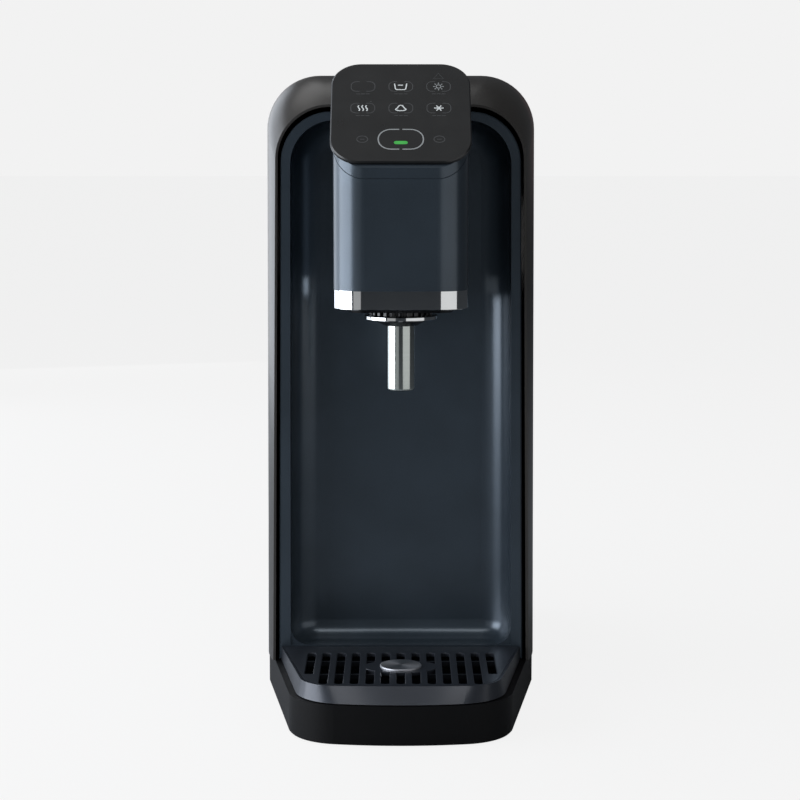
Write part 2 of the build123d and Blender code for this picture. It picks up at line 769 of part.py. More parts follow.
def filter_cartridge(x, label):
    """Twist-in cartridge: neck, body with a shoulder at each end, and a grip across the top."""
    with BuildPart() as cartridge:
        with BuildSketch(Plane.XY.offset(manifold_top - 7.6)):
            with Locations((x, filter_y)):
                Circle(15.0)
        extrude(amount=12)
        with BuildSketch(Plane.XY.offset(manifold_top + 4)):
            with Locations((x, filter_y)):
                Circle(23.0)
        extrude(amount=196)
        chamfer(cartridge.edges().filter_by(GeomType.CIRCLE).filter_by(lambda edge: edge.radius > 20), 3.0)
        with BuildSketch(Plane.XY.offset(manifold_top + 200)):
            with Locations((x, filter_y)):
                SlotOverall(38, 8, rotation=90)
        extrude(amount=11)
        fillet(cartridge.edges().group_by(Axis.Z)[-1], 1.5)
    cartridge.part.label = label
    return cartridge.part


export_step(filter_cartridge(-filter_x, "filter_left"), "parts/filter_left.step")
export_step(filter_cartridge(filter_x, "filter_right"), "parts/filter_right.step")

# ---- cooling ------------------------------------------------------------------------------------
tank_x, tank_y, tank_radius = -30.0, 3.0, 37.0
with BuildPart() as cold_tank:
    with BuildSketch(Plane.XY.offset(44)):
        with Locations((tank_x, tank_y)):
            Circle(tank_radius)
    extrude(amount=150)
    fillet(cold_tank.edges().filter_by(GeomType.CIRCLE), 6)
    with BuildSketch(Plane.XY.offset(190)):
        with Locations((tank_x - 14, tank_y), (tank_x + 14, tank_y)):
            Circle(4)
    extrude(amount=26)
    # hollow inside, reached through the two ports
    with BuildSketch(Plane.XY.offset(46)):
        with Locations((tank_x, tank_y)):
            Circle(tank_radius - 2)
    extrude(amount=146, mode=Mode.SUBTRACT)
    with BuildSketch(Plane.XY.offset(188)):
        with Locations((tank_x - 14, tank_y), (tank_x + 14, tank_y)):
            Circle(2.8)
    extrude(amount=30, mode=Mode.SUBTRACT)
cold_tank.part.label = "cold_tank"
export_step(cold_tank.part, "parts/cold_tank.step")

with BuildPart() as tank_insulation:
    with BuildSketch(Plane.XY.offset(deck + 0.5)):
        with Locations((tank_x, tank_y)):
            RectangleRounded(98, 98, 16)
    extrude(amount=181)
    with BuildSketch(Plane.XY.offset(44)):
        with Locations((tank_x, tank_y)):
            Circle(tank_radius + 0.3)
    extrude(amount=150.3, mode=Mode.SUBTRACT)
    with BuildSketch(Plane.XY.offset(190)):
        with Locations((tank_x - 14, tank_y), (tank_x + 14, tank_y)):
            Circle(4.4)
    extrude(amount=30, mode=Mode.SUBTRACT)
tank_insulation.part.label = "tank_insulation"
export_step(tank_insulation.part, "parts/tank_insulation.step")

pump_x, pump_y = -32.0, 104.0
pump_lugs = 42.0
with BuildPart() as compressor:
    with BuildSketch(Plane.XY.offset(38)):
        with Locations((pump_x, pump_y)):
            Circle(36)
    extrude(amount=106)
    fillet(compressor.edges().group_by(Axis.Z)[-1], 22)
    fillet(compressor.edges().group_by(Axis.Z)[0], 6)
    with BuildSketch(Plane.XY.offset(46)):
        with Locations((pump_x, pump_y)):
            with PolarLocations(pump_lugs, 3):
                Circle(7.5)
    extrude(amount=3)
    with BuildSketch(Plane.XY.offset(120)):
        with Locations((pump_x + 18, pump_y)):
            Circle(3)
    extrude(amount=36)
compressor.part.label = "compressor"
export_step(compressor.part, "parts/compressor.step")

with BuildPart() as compressor_mounts:
    with BuildSketch(Plane.XY.offset(deck)):
        with Locations((pump_x, pump_y)):
            with PolarLocations(pump_lugs, 3):
                Circle(5.5)
    extrude(amount=20)
compressor_mounts.part.label = "compressor_mounts"
export_step(compressor_mounts.part, "parts/compressor_mounts.step")

with BuildPart() as condenser:
    with BuildSketch(Plane.XZ.offset(-152.5)):
        with Locations((fan_x, fan_z)):
            with GridLocations(0, 4.0, 1, 22):
                Rectangle(88, 1.2)
    extrude(amount=-9)
    with BuildSketch(Plane.XZ.offset(-154)):
        with Locations((fan_x, fan_z)):
            with GridLocations(84, 0, 2, 1):
                Rectangle(6, 92)
            with GridLocations(28, 0, 2, 1):
                Rectangle(5, 92)
    extrude(amount=-6)
condenser.part.label = "condenser"
export_step(condenser.part, "parts/condenser.step")

fan_back = 186.0
fan_depth = 22.0
with BuildPart() as fan_shroud:
    with BuildSketch(Plane.XZ.offset(-fan_back)):
        with Locations((fan_x, fan_z)):
            RectangleRounded(92, 92, 6)
            Circle(43, mode=Mode.SUBTRACT)
            with GridLocations(82, 82, 2, 2):
                Circle(2.2, mode=Mode.SUBTRACT)
    extrude(amount=fan_depth)
    with BuildSketch(Plane.XZ.offset(-fan_back)):
        with Locations((fan_x, fan_z)):
            Circle(13)
            Rectangle(90, 4)
            Rectangle(4, 90)
    extrude(amount=3)
    with BuildSketch(Plane.XZ.offset(-fan_back)):
        with Locations((fan_x, fan_z)):
            Circle(2.0)
    extrude(amount=16)
fan_shroud.part.label = "fan_shroud"
export_step(fan_shroud.part, "parts/fan_shroud.step")

with BuildPart() as fan_rotor:
    with BuildSketch(Plane.XZ.offset(-fan_back + 4)):
        with Locations((fan_x, fan_z)):
            Circle(13)
            Circle(2.3, mode=Mode.SUBTRACT)
    extrude(amount=15)
    for blade in range(7):
        with BuildSketch(Plane.XZ.offset(-fan_back + 5)):
            with Locations(Location((fan_x, fan_z), blade * 360 / 7)):
                with Locations((26.5, 0)):
                    Rectangle(29, 3.0)
        extrude(amount=12)
fan_rotor.part.label = "fan_rotor"
export_step(fan_rotor.part, "parts/fan_rotor.step")

# ---- heating, valves and electronics ----------------------------------------------------------------
heater_x, heater_y = 52.0, 4.0
with BuildPart() as instant_heater:
    with BuildSketch(Plane.XY.offset(60)):
        with Locations((heater_x, heater_y)):
            Circle(22)
    extrude(amount=120)
    fillet(instant_heater.edges(), 3)
    with BuildSketch(Plane.XY.offset(56)):
        with Locations((heater_x, heater_y)):
            Circle(4)
    extrude(amount=140)
instant_heater.part.label = "instant_heater"
export_step(instant_heater.part, "parts/instant_heater.step")

with BuildPart() as heater_bracket:
    with BuildSketch(Plane.XY.offset(deck)):
        with Locations((heater_x, heater_y)):
            Rectangle(54, 54)
            Circle(5, mode=Mode.SUBTRACT)
    extrude(amount=2)
    with BuildSketch(Plane.XY.offset(deck)):
        with Locations((heater_x, heater_y + 25.5)):
            Rectangle(54, 3)
    extrude(amount=150)
    with BuildSketch(Plane.XY.offset(90)):
        with Locations((heater_x, heater_y)):
            Circle(25)
            Circle(22.3, mode=Mode.SUBTRACT)
            with Locations((0, 24)):
                Rectangle(16, 4)
    extrude(amount=14)
heater_bracket.part.label = "heater_bracket"
export_step(heater_bracket.part, "parts/heater_bracket.step")

with BuildPart() as valve_block:
    with BuildSketch(Plane.XY.offset(250)):
        with Locations((0, 10)):
            RectangleRounded(120, 40, 5)
    extrude(amount=26)
    with BuildSketch(Plane.XY.offset(276)):
        with Locations((0, 10)):
            with GridLocations(38, 0, 3, 1):
                Circle(14)
    extrude(amount=34)
    fillet(valve_block.edges().group_by(Axis.Z)[-1], 2)
    with BuildSketch(Plane.XZ.offset(10)):
        with Locations((-7, 262), (7, 262)):
            Circle(4.2)
    extrude(amount=12)
valve_block.part.label = "valve_block"
export_step(valve_block.part, "parts/valve_block.step")

with BuildPart() as valve_bracket:
    with BuildSketch(Plane.XY.offset(shelf + 3)):
        with Locations((0, 57)):
            Rectangle(130, 3)
    extrude(amount=92)
    with BuildSketch(Plane.XY.offset(247)):
        with Locations((0, 22)):
            Rectangle(130, 68)
            with Locations((-28, 0)):
                Rectangle(30, 30, mode=Mode.SUBTRACT)
    extrude(amount=3)
valve_bracket.part.label = "valve_bracket"
export_step(valve_bracket.part, "parts/valve_bracket.step")

with BuildPart() as power_board:
    with BuildSketch(Plane.YZ.offset(70)):
        with Locations((108, 100)):
            Rectangle(82, 110)
            with GridLocations(74, 102, 2, 2):
                Circle(1.6, mode=Mode.SUBTRACT)
    extrude(amount=1.6)
    with BuildSketch(Plane.YZ.offset(70)):
        with Locations((92, 126), (120, 124), (96, 80)):
            Rectangle(20, 24)
        with Locations((122, 72), (136, 98)):
            Circle(8)
    extrude(amount=-18)
power_board.part.label = "power_board"
export_step(power_board.part, "parts/power_board.step")

with BuildPart() as control_board:
    with BuildSketch(Plane.XY.offset(330)):
        with Locations((0, 12)):
            RectangleRounded(120, 76, 3)
            with GridLocations(108, 64, 2, 2):
                Circle(1.7, mode=Mode.SUBTRACT)
    extrude(amount=1.6)
    with BuildSketch(Plane.XY.offset(331.6)):
        with Locations((-30, 10), (18, 22)):
            Rectangle(18, 18)
        with Locations((38, -10), (-10, -14)):
            Rectangle(24, 8)
    extrude(amount=7)
control_board.part.label = "control_board"
export_step(control_board.part, "parts/control_board.step")

with BuildPart() as board_carrier:
    with BuildSketch(Plane.XY.offset(310.3)):
        with Locations((0, 12)):
            with GridLocations(108, 64, 2, 2):
                Circle(3.4)
    extrude(amount=19.7)
    with BuildSketch(Plane.XY.offset(307.3)):
        with Locations((0, 12)):
            RectangleRounded(124, 80, 3)
            with Locations((0, -2)):
                Rectangle(110, 36, mode=Mode.SUBTRACT)
    extrude(amount=3)
    with BuildSketch(Plane.XY.offset(250)):
        with Locations((0, 50)):
            with GridLocations(116, 0, 2, 1):
                Rectangle(6, 4)
    extrude(amount=60)
board_carrier.part.label = "board_carrier"
export_step(board_carrier.part, "parts/board_carrier.step")

# ---- water tubes -----------------------------------------------------------------------------------------
def water_tube(label, corners, bends):
    """Bent tube of straight runs joined by round bends."""
    with BuildPart() as tube:
        with BuildLine() as route:
            FilletPolyline(*corners, radius=bends)
        start = Plane(origin=corners[0], z_dir=Vector(*corners[1]) - Vector(*corners[0]))
        with BuildSketch(start):
            Circle(3.2)
        sweep(path=route.line)
    tube.part.label = label
    return tube.part


outlet_z = stem_top + 12
cold_route = (
    (tank_x - 14, tank_y, 216.2),
    (tank_x - 14, tank_y, 240),
    (-70, -10, 240),
    (-70, -30, 290),
    (-7, -45, outlet_z),
    (-7, -107.8, outlet_z),
)
cold_tube = water_tube("cold_tube", cold_route, 8)
export_step(cold_tube, "parts/cold_tube.step")
hot_route = (
    (heater_x, heater_y, 196.2),
    (heater_x, heater_y, 222),
    (72, -12, 240),
    (68, -30, 290),
    (7, -45, outlet_z),
    (7, -107.8, outlet_z),
)
hot_tube = water_tube("hot_tube", hot_route, 8)
export_step(hot_tube, "parts/hot_tube.step")

# ---- rear fittings -----------------------------------------------------------------------------------------
with BuildPart() as inlet_fitting:
    with BuildSketch(Plane.XZ.offset(-176.0)):
        with Locations((inlet_x, fitting_z)):
            Circle(6.9)
    extrude(amount=-18.6)
    with BuildSketch(Plane.XZ.offset(-rear)):
        with Locations((inlet_x, fitting_z)):
            Circle(9.4)
    extrude(amount=-2.2)
    with BuildSketch(Plane.XZ.offset(-194.6)):
        with Locations((inlet_x, fitting_z)):
            Circle(3.25)
    extrude(amount=16, mode=Mode.SUBTRACT)
inlet_fitting.part.label = "inlet_fitting"
export_step(inlet_fitting.part, "parts/inlet_fitting.step")

with BuildPart() as drain_socket:
    with BuildSketch(Plane.XZ.offset(-176.0)):
        with Locations((drain_x, fitting_z)):
            Circle(6.9)
    extrude(amount=-17.0)
    with BuildSketch(Plane.XZ.offset(-rear)):
        with Locations((drain_x, fitting_z)):
            Circle(9.4)
    extrude(amount=-1.8)
    with BuildSketch(Plane.XZ.offset(-194.6)):
        with Locations((drain_x, fitting_z)):
            Circle(4.4)
    extrude(amount=15, mode=Mode.SUBTRACT)
drain_socket.part.label = "drain_socket"
export_step(drain_socket.part, "parts/drain_socket.step")

with BuildPart() as drain_plug:
    with BuildSketch(Plane.XZ.offset(-182.0)):
        with Locations((drain_x, fitting_z)):
            Circle(4.36)
    extrude(amount=-11.1)
    with BuildSketch(Plane.XZ.offset(-193.1)):
        with Locations((drain_x, fitting_z)):
            Circle(8.0)
    extrude(amount=-1.9)
    fillet(drain_plug.edges().group_by(Axis.Y)[-1], 0.8)
drain_plug.part.label = "drain_plug"
export_step(drain_plug.part, "parts/drain_plug.step")

with BuildPart() as power_inlet:
    with BuildSketch(Plane.XZ.offset(-168.0)):
        with Locations((power_x, power_z)):
            RectangleRounded(28, 20, 1.8)
    extrude(amount=-23.0)
    with BuildSketch(Plane.XZ.offset(-rear)):
        with Locations((power_x, power_z)):
            RectangleRounded(33, 24, 3)
    extrude(amount=-1.6)
    with BuildSketch(Plane.XZ.offset(-rear - 3)):
        with Locations((power_x, power_z)):
            RectangleRounded(24, 16, 2)
    extrude(amount=18, mode=Mode.SUBTRACT)
    with BuildSketch(Plane.XZ.offset(-172.0)):
        with Locations((power_x - 7, power_z), (power_x, power_z + 2), (power_x + 7, power_z)):
            Rectangle(2, 4)
    extrude(amount=-15)
power_inlet.part.label = "power_inlet"
export_step(power_inlet.part, "parts/power_inlet.step")


pivot_radius = 1.2


def switch_frame(x, label):
    """Snap-in switch body, open at the back of the machine."""
    with BuildPart() as body:
        with BuildSketch(Plane.XZ.offset(-172.0)):
            with Locations((x, switch_z)):
                RectangleRounded(14, 22, 0.5)
        extrude(amount=-18.5)
        with BuildSketch(Plane.XZ.offset(-rear)):
            with Locations((x, switch_z)):
                RectangleRounded(17, 25, 1.5)
        extrude(amount=-1.5)
        with BuildSketch(Plane.XZ.offset(-rear - 3)):
            with Locations((x, switch_z)):
                Rectangle(11.6, 19.4)
        extrude(amount=12, mode=Mode.SUBTRACT)
        with BuildSketch(Plane.YZ.offset(x)):
            with Locations((pivot_y, switch_z)):
                Circle(pivot_radius + 0.05)
        extrude(amount=6.6, both=True, mode=Mode.SUBTRACT)
    body.part.label = label
    return body.part


def switch_rocker(x, label):
    """Rocker, thicker at its middle, with a pivot pin at each side."""
    with BuildPart() as rocker:
        with BuildSketch(Plane.YZ.offset(x)):
            with BuildLine():
                Polyline(
                    (rear + 2.2, switch_z + 8.6),
                    (rear + 0.8, switch_z),
                    (rear + 2.2, switch_z - 8.6),
                    (rear - 1.8, switch_z - 8.4),
                    (rear - 3.4, switch_z),
                    (rear - 1.8, switch_z + 8.4),
                    close=True,
                )
            make_face()
        extrude(amount=5.4, both=True)
        with BuildSketch(Plane.YZ.offset(x)):
            with Locations((pivot_y, switch_z)):
                Circle(pivot_radius)
        extrude(amount=6.5, both=True)
    rocker.part.label = label
    return rocker.part


for x, side in ((hot_x, "hot"), (cold_x, "cold")):
    export_step(switch_frame(x, side + "_switch_frame"), "parts/" + side + "_switch_frame.step")
    export_step(switch_rocker(x, side + "_switch_rocker"), "parts/" + side + "_switch_rocker.step")
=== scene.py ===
import json
import math

import bmesh
import bpy
from mathutils import Matrix, Vector


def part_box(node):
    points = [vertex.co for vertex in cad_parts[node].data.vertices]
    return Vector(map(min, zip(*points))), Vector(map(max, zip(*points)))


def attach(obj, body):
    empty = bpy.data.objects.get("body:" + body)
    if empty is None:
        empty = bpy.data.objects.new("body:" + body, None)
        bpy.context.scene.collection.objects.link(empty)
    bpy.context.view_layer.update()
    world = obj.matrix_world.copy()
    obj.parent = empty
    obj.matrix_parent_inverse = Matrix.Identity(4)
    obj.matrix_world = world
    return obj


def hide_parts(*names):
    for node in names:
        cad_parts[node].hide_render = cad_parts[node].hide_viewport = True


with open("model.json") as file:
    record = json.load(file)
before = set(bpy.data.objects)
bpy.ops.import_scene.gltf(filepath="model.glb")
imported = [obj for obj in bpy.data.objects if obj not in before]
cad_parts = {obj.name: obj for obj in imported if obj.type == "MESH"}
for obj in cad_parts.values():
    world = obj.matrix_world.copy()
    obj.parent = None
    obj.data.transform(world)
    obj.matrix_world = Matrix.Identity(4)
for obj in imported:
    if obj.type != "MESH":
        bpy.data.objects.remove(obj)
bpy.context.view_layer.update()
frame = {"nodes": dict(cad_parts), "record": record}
nodes = frame["nodes"]
record = frame["record"]

# ---- Base ------------------------------------------------------------------------------------
# The base is an injection-moulded tub of black ABS. Its steel mould is spark-eroded, which
# leaves a fine even texture, and a flat ABS plate closes it from below.
MM = 0.001


def linear(code):
    """Linear colour of an sRGB hex value."""
    shades = [int(code[place:place + 2], 16) / 255 for place in (0, 2, 4)]
    return [s / 12.92 if s <= 0.04045 else ((s + 0.055) / 1.055) ** 2.4 for s in shades] + [1.0]


def add_node(tree, kind, settings=None, links=None):
    """Adds a shader node, sets its options and inputs, and joins sockets to its inputs."""
    made = tree.nodes.new(kind)
    for key, value in (settings or {}).items():
        if isinstance(key, str) and hasattr(made, key):
            setattr(made, key, value)
        else:
            made.inputs[key].default_value = value
    for key, socket in (links or {}).items():
        tree.links.new(socket, made.inputs[key])
    return made


def new_material(name):
    """Empty node material, and its object coordinates, which are metres in the frame."""
    material = bpy.data.materials.new(name)
    material.use_nodes = True
    tree = material.node_tree
    tree.nodes.clear()
    return material, tree, add_node(tree, "ShaderNodeTexCoord").outputs["Object"]


def close_material(tree, shader):
    """Joins the finished shader to the material's surface."""
    add_node(tree, "ShaderNodeOutputMaterial", {}, {"Surface": shader.outputs[0]})


def moulded(name, colour, lighter, roughness, grain_mm, depth, **shader_settings):
    """Moulded polymer: clouded pigment, gloss that varies a little, and the mould's texture."""
    material, tree, place = new_material(name)
    cloud = add_node(
        tree, "ShaderNodeTexNoise", {"Scale": 1 / (60 * MM), "Detail": 3.0}, {"Vector": place},
    )
    shade = add_node(
        tree, "ShaderNodeMix", {"data_type": "RGBA", 6: linear(colour), 7: linear(lighter)},
        {0: cloud.outputs[0]},
    )
    grain = add_node(
        tree, "ShaderNodeTexNoise", {"Scale": 1 / (grain_mm * MM), "Detail": 4.0, "Roughness": 0.6},
        {"Vector": place},
    )
    gloss = add_node(
        tree, "ShaderNodeMapRange", {3: roughness - 0.04, 4: roughness + 0.04}, {0: grain.outputs[0]},
    )
    bump = add_node(
        tree, "ShaderNodeBump", {"Strength": depth, "Distance": 0.05 * MM}, {"Height": grain.outputs[0]},
    )
    shader = add_node(
        tree, "ShaderNodeBsdfPrincipled", {"IOR": 1.5, **shader_settings},
        {"Base Color": shade.outputs[2], "Roughness": gloss.outputs[0], "Normal": bump.outputs[0]},
    )
    close_material(tree, shader)
    return material


def wear(material, *names):
    """Gives CAD nodes a finish in place of their plain one."""
    for name in names:
        mesh = nodes[name].data
        if not mesh.materials:
            mesh.materials.append(material)
        for place in range(len(mesh.materials)):
            mesh.materials[place] = material


# Black ABS is nearly black with a dull, even sheen. Its 0.9 mm grain is drawn about three
# times coarser than the real erosion texture, so that it shows.
black_abs = moulded("black_abs_spark_eroded", "040405", "070708", 0.5, 0.9, 0.35, IOR=1.28)
wear(black_abs, "base_housing", "base_plate")

# ---- Feet ------------------------------------------------------------------------------------
# Four discs of black nitrile rubber, die-cut from sheet and glued under the plate. The
# compressor's mounts, the drain plug and the nozzle's ring are pressed from the same rubber.
# Rubber looks matt and slightly dusty.
rubber = moulded("nitrile_rubber_pressed", "101010", "1a1a19", 0.78, 1.2, 0.7)
wear(rubber, "rubber_feet", "compressor_mounts", "drain_plug", "nozzle_seal")

# ---- Screws ----------------------------------------------------------------------------------
# Pan-head screws of cold-headed steel with a cross recess, bright zinc plated. Six hold the
# base plate from below and six hold the rear cover.
SCREW_SIDES = 28
SMALL_HEAD = 1.6 * MM         # height of the base plate's screw heads
LARGE_HEAD = 1.8 * MM         # height of the rear cover's
LARGE_RADIUS = 3.3 * MM       # heads wider than this are the large ones
HEAD_CROWN = 0.55             # part of the head's height that is domed
DOME_STEPS = 6
SHAFT_RADIUS = 1.55 * MM
RECESS_DEPTH = 1.1 * MM
RECESS_SPAN = 3.4 * MM
RECESS_SLOT = 0.75 * MM


def add_piece(name, mesh, material, body):
    """Links a finished mesh as a piece that moves with a body and takes the given finish."""
    piece = bpy.data.objects.new(name, mesh)
    bpy.context.collection.objects.link(piece)
    mesh.materials.clear()
    mesh.materials.append(material)
    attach(piece, body)
    return piece


def lumps(node):
    """Lowest and highest corners of each separate solid in a CAD node."""
    shape = bmesh.new()
    shape.from_mesh(nodes[node].data)
    bmesh.ops.remove_doubles(shape, verts=shape.verts, dist=0.001 * MM)
    waiting = set(shape.verts)
    found = []
    while waiting:
        seen = set()
        edge = [waiting.pop()]
        while edge:
            corner = edge.pop()
            seen.add(corner)
            for link in corner.link_edges:
                other = link.other_vert(corner)
                if other in waiting:
                    waiting.discard(other)
                    edge.append(other)
        low = Vector(min(v.co[axis] for v in seen) for axis in range(3))
        high = Vector(max(v.co[axis] for v in seen) for axis in range(3))
        found.append((low, high))
    shape.free()
    return sorted(found, key=lambda pair: tuple(pair[0]))


def lathe(shape, profile, sides, place):
    """Turns a list of (radius, height) points about the Z axis and puts it in place."""
    rings = []
    for radius, height in profile:
        if radius == 0:
            rings.append([shape.verts.new(place @ Vector((0, 0, height)))] * sides)
            continue
        turns = [step * math.tau / sides for step in range(sides)]
        rings.append([
            shape.verts.new(place @ Vector((radius * math.cos(turn), radius * math.sin(turn), height)))
            for turn in turns
        ])
    for lower, upper in zip(rings, rings[1:]):
        for step in range(sides):
            after = (step + 1) % sides
            corners = []
            for corner in (lower[step], lower[after], upper[after], upper[step]):
                if corner not in corners:
                    corners.append(corner)
            shape.faces.new(corners)


def new_mesh(name, shape, smooth_angle=35):
    """Mesh of a finished shape, smooth except at edges sharper than an angle."""
    bmesh.ops.recalc_face_normals(shape, faces=shape.faces)
    mesh = bpy.data.meshes.new(name)
    shape.to_mesh(mesh)
    shape.free()
    mesh.shade_smooth()
    mesh.set_sharp_from_angle(angle=math.radians(smooth_angle))
    return mesh


def cut(mesh, cutter_shape):
    """Mesh with the cutter's shape taken out of it."""
    cutter_mesh = new_mesh("cutter", cutter_shape)
    stock = bpy.data.objects.new("stock", mesh)
    cutter = bpy.data.objects.new("cutter", cutter_mesh)
    for helper in (stock, cutter):
        bpy.context.collection.objects.link(helper)
    boolean = stock.modifiers.new("cut", "BOOLEAN")
    boolean.operation = "DIFFERENCE"
    boolean.solver = "EXACT"
    boolean.object = cutter
    bpy.context.view_layer.update()
    graph = bpy.context.evaluated_depsgraph_get()
    finished = bpy.data.meshes.new_from_object(stock.evaluated_get(graph))
    for helper in (stock, cutter):
        bpy.data.objects.remove(helper)
    return finished


def cross_prism(shape, arm, half_slot, low, high, place):
    """Upright prism with a plus-shaped outline, closed at both ends."""
    quarter = [(half_slot, half_slot), (half_slot, arm), (-half_slot, arm)]
    outline = []
    for turn in range(4):
        outline += [Matrix.Rotation(turn * math.pi / 2, 2) @ Vector(corner) for corner in quarter]
    lower, upper = (
        [shape.verts.new(place @ Vector((corner.x, corner.y, height))) for corner in outline]
        for height in (low, high)
    )
    shape.faces.new(lower[::-1])
    shape.faces.new(upper)
    for step in range(len(outline)):
        after = (step + 1) % len(outline)
        shape.faces.new((lower[step], lower[after], upper[after], upper[step]))


def screws(name, node, body, way):
    """Cross-recessed screws in place of a CAD node's plain ones, heads facing one way."""
    axis = "XYZ".index(way[1])
    sign = 1 if way[0] == "+" else -1
    bodies = bmesh.new()
    recesses = bmesh.new()
    for low, high in lumps(node):
        middle = (low + high) / 2
        radius = (high - low)[(axis + 1) % 3] / 2
        height = SMALL_HEAD if radius < LARGE_RADIUS else LARGE_HEAD
        length = (high - low)[axis]
        face = high if sign > 0 else low
        middle[axis] = face[axis]
        facing = Vector([sign if step == axis else 0 for step in range(3)])
        place = Matrix.Translation(middle) @ facing.to_track_quat("Z", "Y").to_matrix().to_4x4()
        dome = []
        for step in range(DOME_STEPS):
            turn = step * math.pi / (2 * DOME_STEPS)
            dome.append((radius * math.cos(turn), -height * HEAD_CROWN * (1 - math.sin(turn))))
        shaft = [(0, -length), (SHAFT_RADIUS, -length), (SHAFT_RADIUS, -height), (radius, -height)]
        profile = [*shaft, *dome, (0, 0)]
        lathe(bodies, profile, SCREW_SIDES, place)
        cross_prism(recesses, RECESS_SPAN / 2, RECESS_SLOT / 2, -RECESS_DEPTH, MM, place)
    finished = cut(new_mesh(name, bodies), recesses)
    piece = add_piece(name, finished, zinc, body)
    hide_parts(node)
    return piece


# Bright zinc on steel is a bluish grey metal, a little cloudy where the bath was uneven.
zinc, tree, place = new_material("zinc_plated_steel")
cloud = add_node(tree, "ShaderNodeTexNoise", {"Scale": 1 / (2.5 * MM), "Detail": 4.0}, {"Vector": place})
tint = add_node(
    tree, "ShaderNodeMix", {"data_type": "RGBA", 6: linear("a4a9ae"), 7: linear("c3c5c4")},
    {0: cloud.outputs[0]},
)
gloss = add_node(tree, "ShaderNodeMapRange", {3: 0.24, 4: 0.4}, {0: cloud.outputs[0]})
close_material(tree, add_node(
    tree, "ShaderNodeBsdfPrincipled", {"Metallic": 1.0},
    {"Base Color": tint.outputs[2], "Roughness": gloss.outputs[0]},
))
screws("plate_screws", "base_screws", "housing", "-Z")
screws("cover_screws", "rear_cover_screws", "housing", "+Y")

# ---- Inner frame, filter manifold and board carrier ------------------------------------------
# Grey ABS mouldings that nobody sees: the upright frame, the block that the filters twist
# into, and the legs under the control board. Their moulds are plainly machined and matt.
grey_abs = moulded("grey_abs_machined_mould", "595c5f", "65686a", 0.55, 1.4, 0.3)
wear(grey_abs, "inner_frame", "filter_manifold", "board_carrier")

# ---- Filter cartridges -----------------------------------------------------------------------
# Two sealed cartridges of white polypropylene, spin-welded round their shoulders. The plastic
# is waxy, so a little light goes into it. A plain coloured band tells the two stages apart.
BAND_LOW = 0.30               # as parts of the cartridge's height
BAND_HIGH = 0.55


def polypropylene(name, node, band_colour):
    """Waxy white polypropylene with a printed band round the cartridge."""
    low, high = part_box(node)
    material, tree, place = new_material(name)
    height = add_node(tree, "ShaderNodeSeparateXYZ", {}, {0: place})
    from_z = low.z + BAND_LOW * (high.z - low.z)
    to_z = low.z + BAND_HIGH * (high.z - low.z)
    above = add_node(tree, "ShaderNodeMath", {"operation": "GREATER_THAN", 1: from_z}, {0: height.outputs[2]})
    below = add_node(tree, "ShaderNodeMath", {"operation": "LESS_THAN", 1: to_z}, {0: height.outputs[2]})
    band = add_node(
        tree, "ShaderNodeMath", {"operation": "MULTIPLY"}, {0: above.outputs[0], 1: below.outputs[0]},
    )
    cloud = add_node(tree, "ShaderNodeTexNoise", {"Scale": 1 / (20 * MM), "Detail": 3.0}, {"Vector": place})
    white = add_node(
        tree, "ShaderNodeMix", {"data_type": "RGBA", 6: linear("dcdfe0"), 7: linear("e9ebea")},
        {0: cloud.outputs[0]},
    )
    tint = add_node(
        tree, "ShaderNodeMix", {"data_type": "RGBA", 7: linear(band_colour)},
        {0: band.outputs[0], 6: white.outputs[2]},
    )
    gloss = add_node(tree, "ShaderNodeMapRange", {3: 0.32, 4: 0.42}, {0: cloud.outputs[0]})
    close_material(tree, add_node(
        tree, "ShaderNodeBsdfPrincipled",
        {"IOR": 1.49, "Subsurface Weight": 0.15, "Subsurface Scale": 2 * MM},
        {"Base Color": tint.outputs[2], "Roughness": gloss.outputs[0]},
    ))
    return material


wear(polypropylene("polypropylene_carbon_stage", "filter_left", "5b7f9c"), "filter_left")
wear(polypropylene("polypropylene_membrane_stage", "filter_right", "7f8a90"), "filter_right")

# ---- Cold tank and its insulation ------------------------------------------------------------
# The tank is deep-drawn stainless steel, so its walls carry faint upright draw lines. It sits
# in a block of expanded polystyrene, whose 3 mm beads make a pebbled white skin.
DRAW_LINE = 1.2 * MM
BEAD = 3.0 * MM
drawn_steel, tree, place = new_material("stainless_steel_deep_drawn")
stretched = add_node(
    tree, "ShaderNodeMapping", {"Scale": (1 / DRAW_LINE, 1 / DRAW_LINE, 1 / (80 * MM))}, {"Vector": place},
)
lines = add_node(tree, "ShaderNodeTexNoise", {"Scale": 1.0, "Detail": 3.0}, {"Vector": stretched.outputs[0]})
tint = add_node(
    tree, "ShaderNodeMix", {"data_type": "RGBA", 6: linear("9b9d9f"), 7: linear("c2c4c6")},
    {0: lines.outputs[0]},
)
gloss = add_node(tree, "ShaderNodeMapRange", {3: 0.2, 4: 0.36}, {0: lines.outputs[0]})
close_material(tree, add_node(
    tree, "ShaderNodeBsdfPrincipled", {"Metallic": 1.0},
    {"Base Color": tint.outputs[2], "Roughness": gloss.outputs[0]},
))
wear(drawn_steel, "cold_tank", "instant_heater")

foam, tree, place = new_material("expanded_polystyrene_moulded")
beads = add_node(tree, "ShaderNodeTexVoronoi", {"Scale": 1 / BEAD, "feature": "F1"}, {"Vector": place})
# The beads are painted lighter in their middles and greyer where they meet: painted shade of their rounding
# and of the joins between them.
tint = add_node(
    tree, "ShaderNodeMix", {"data_type": "RGBA", 6: linear("f0f0ec"), 7: linear("cfcfc9")},
    {0: beads.outputs[0]},
)
bump = add_node(tree, "ShaderNodeBump", {"Strength": 0.5, "Distance": 0.4 * MM}, {"Height": beads.outputs[0]})
close_material(tree, add_node(
    tree, "ShaderNodeBsdfPrincipled", {"Roughness": 0.85, "IOR": 1.45},
    {"Base Color": tint.outputs[2], "Normal": bump.outputs[0]},
))
wear(foam, "tank_insulation")

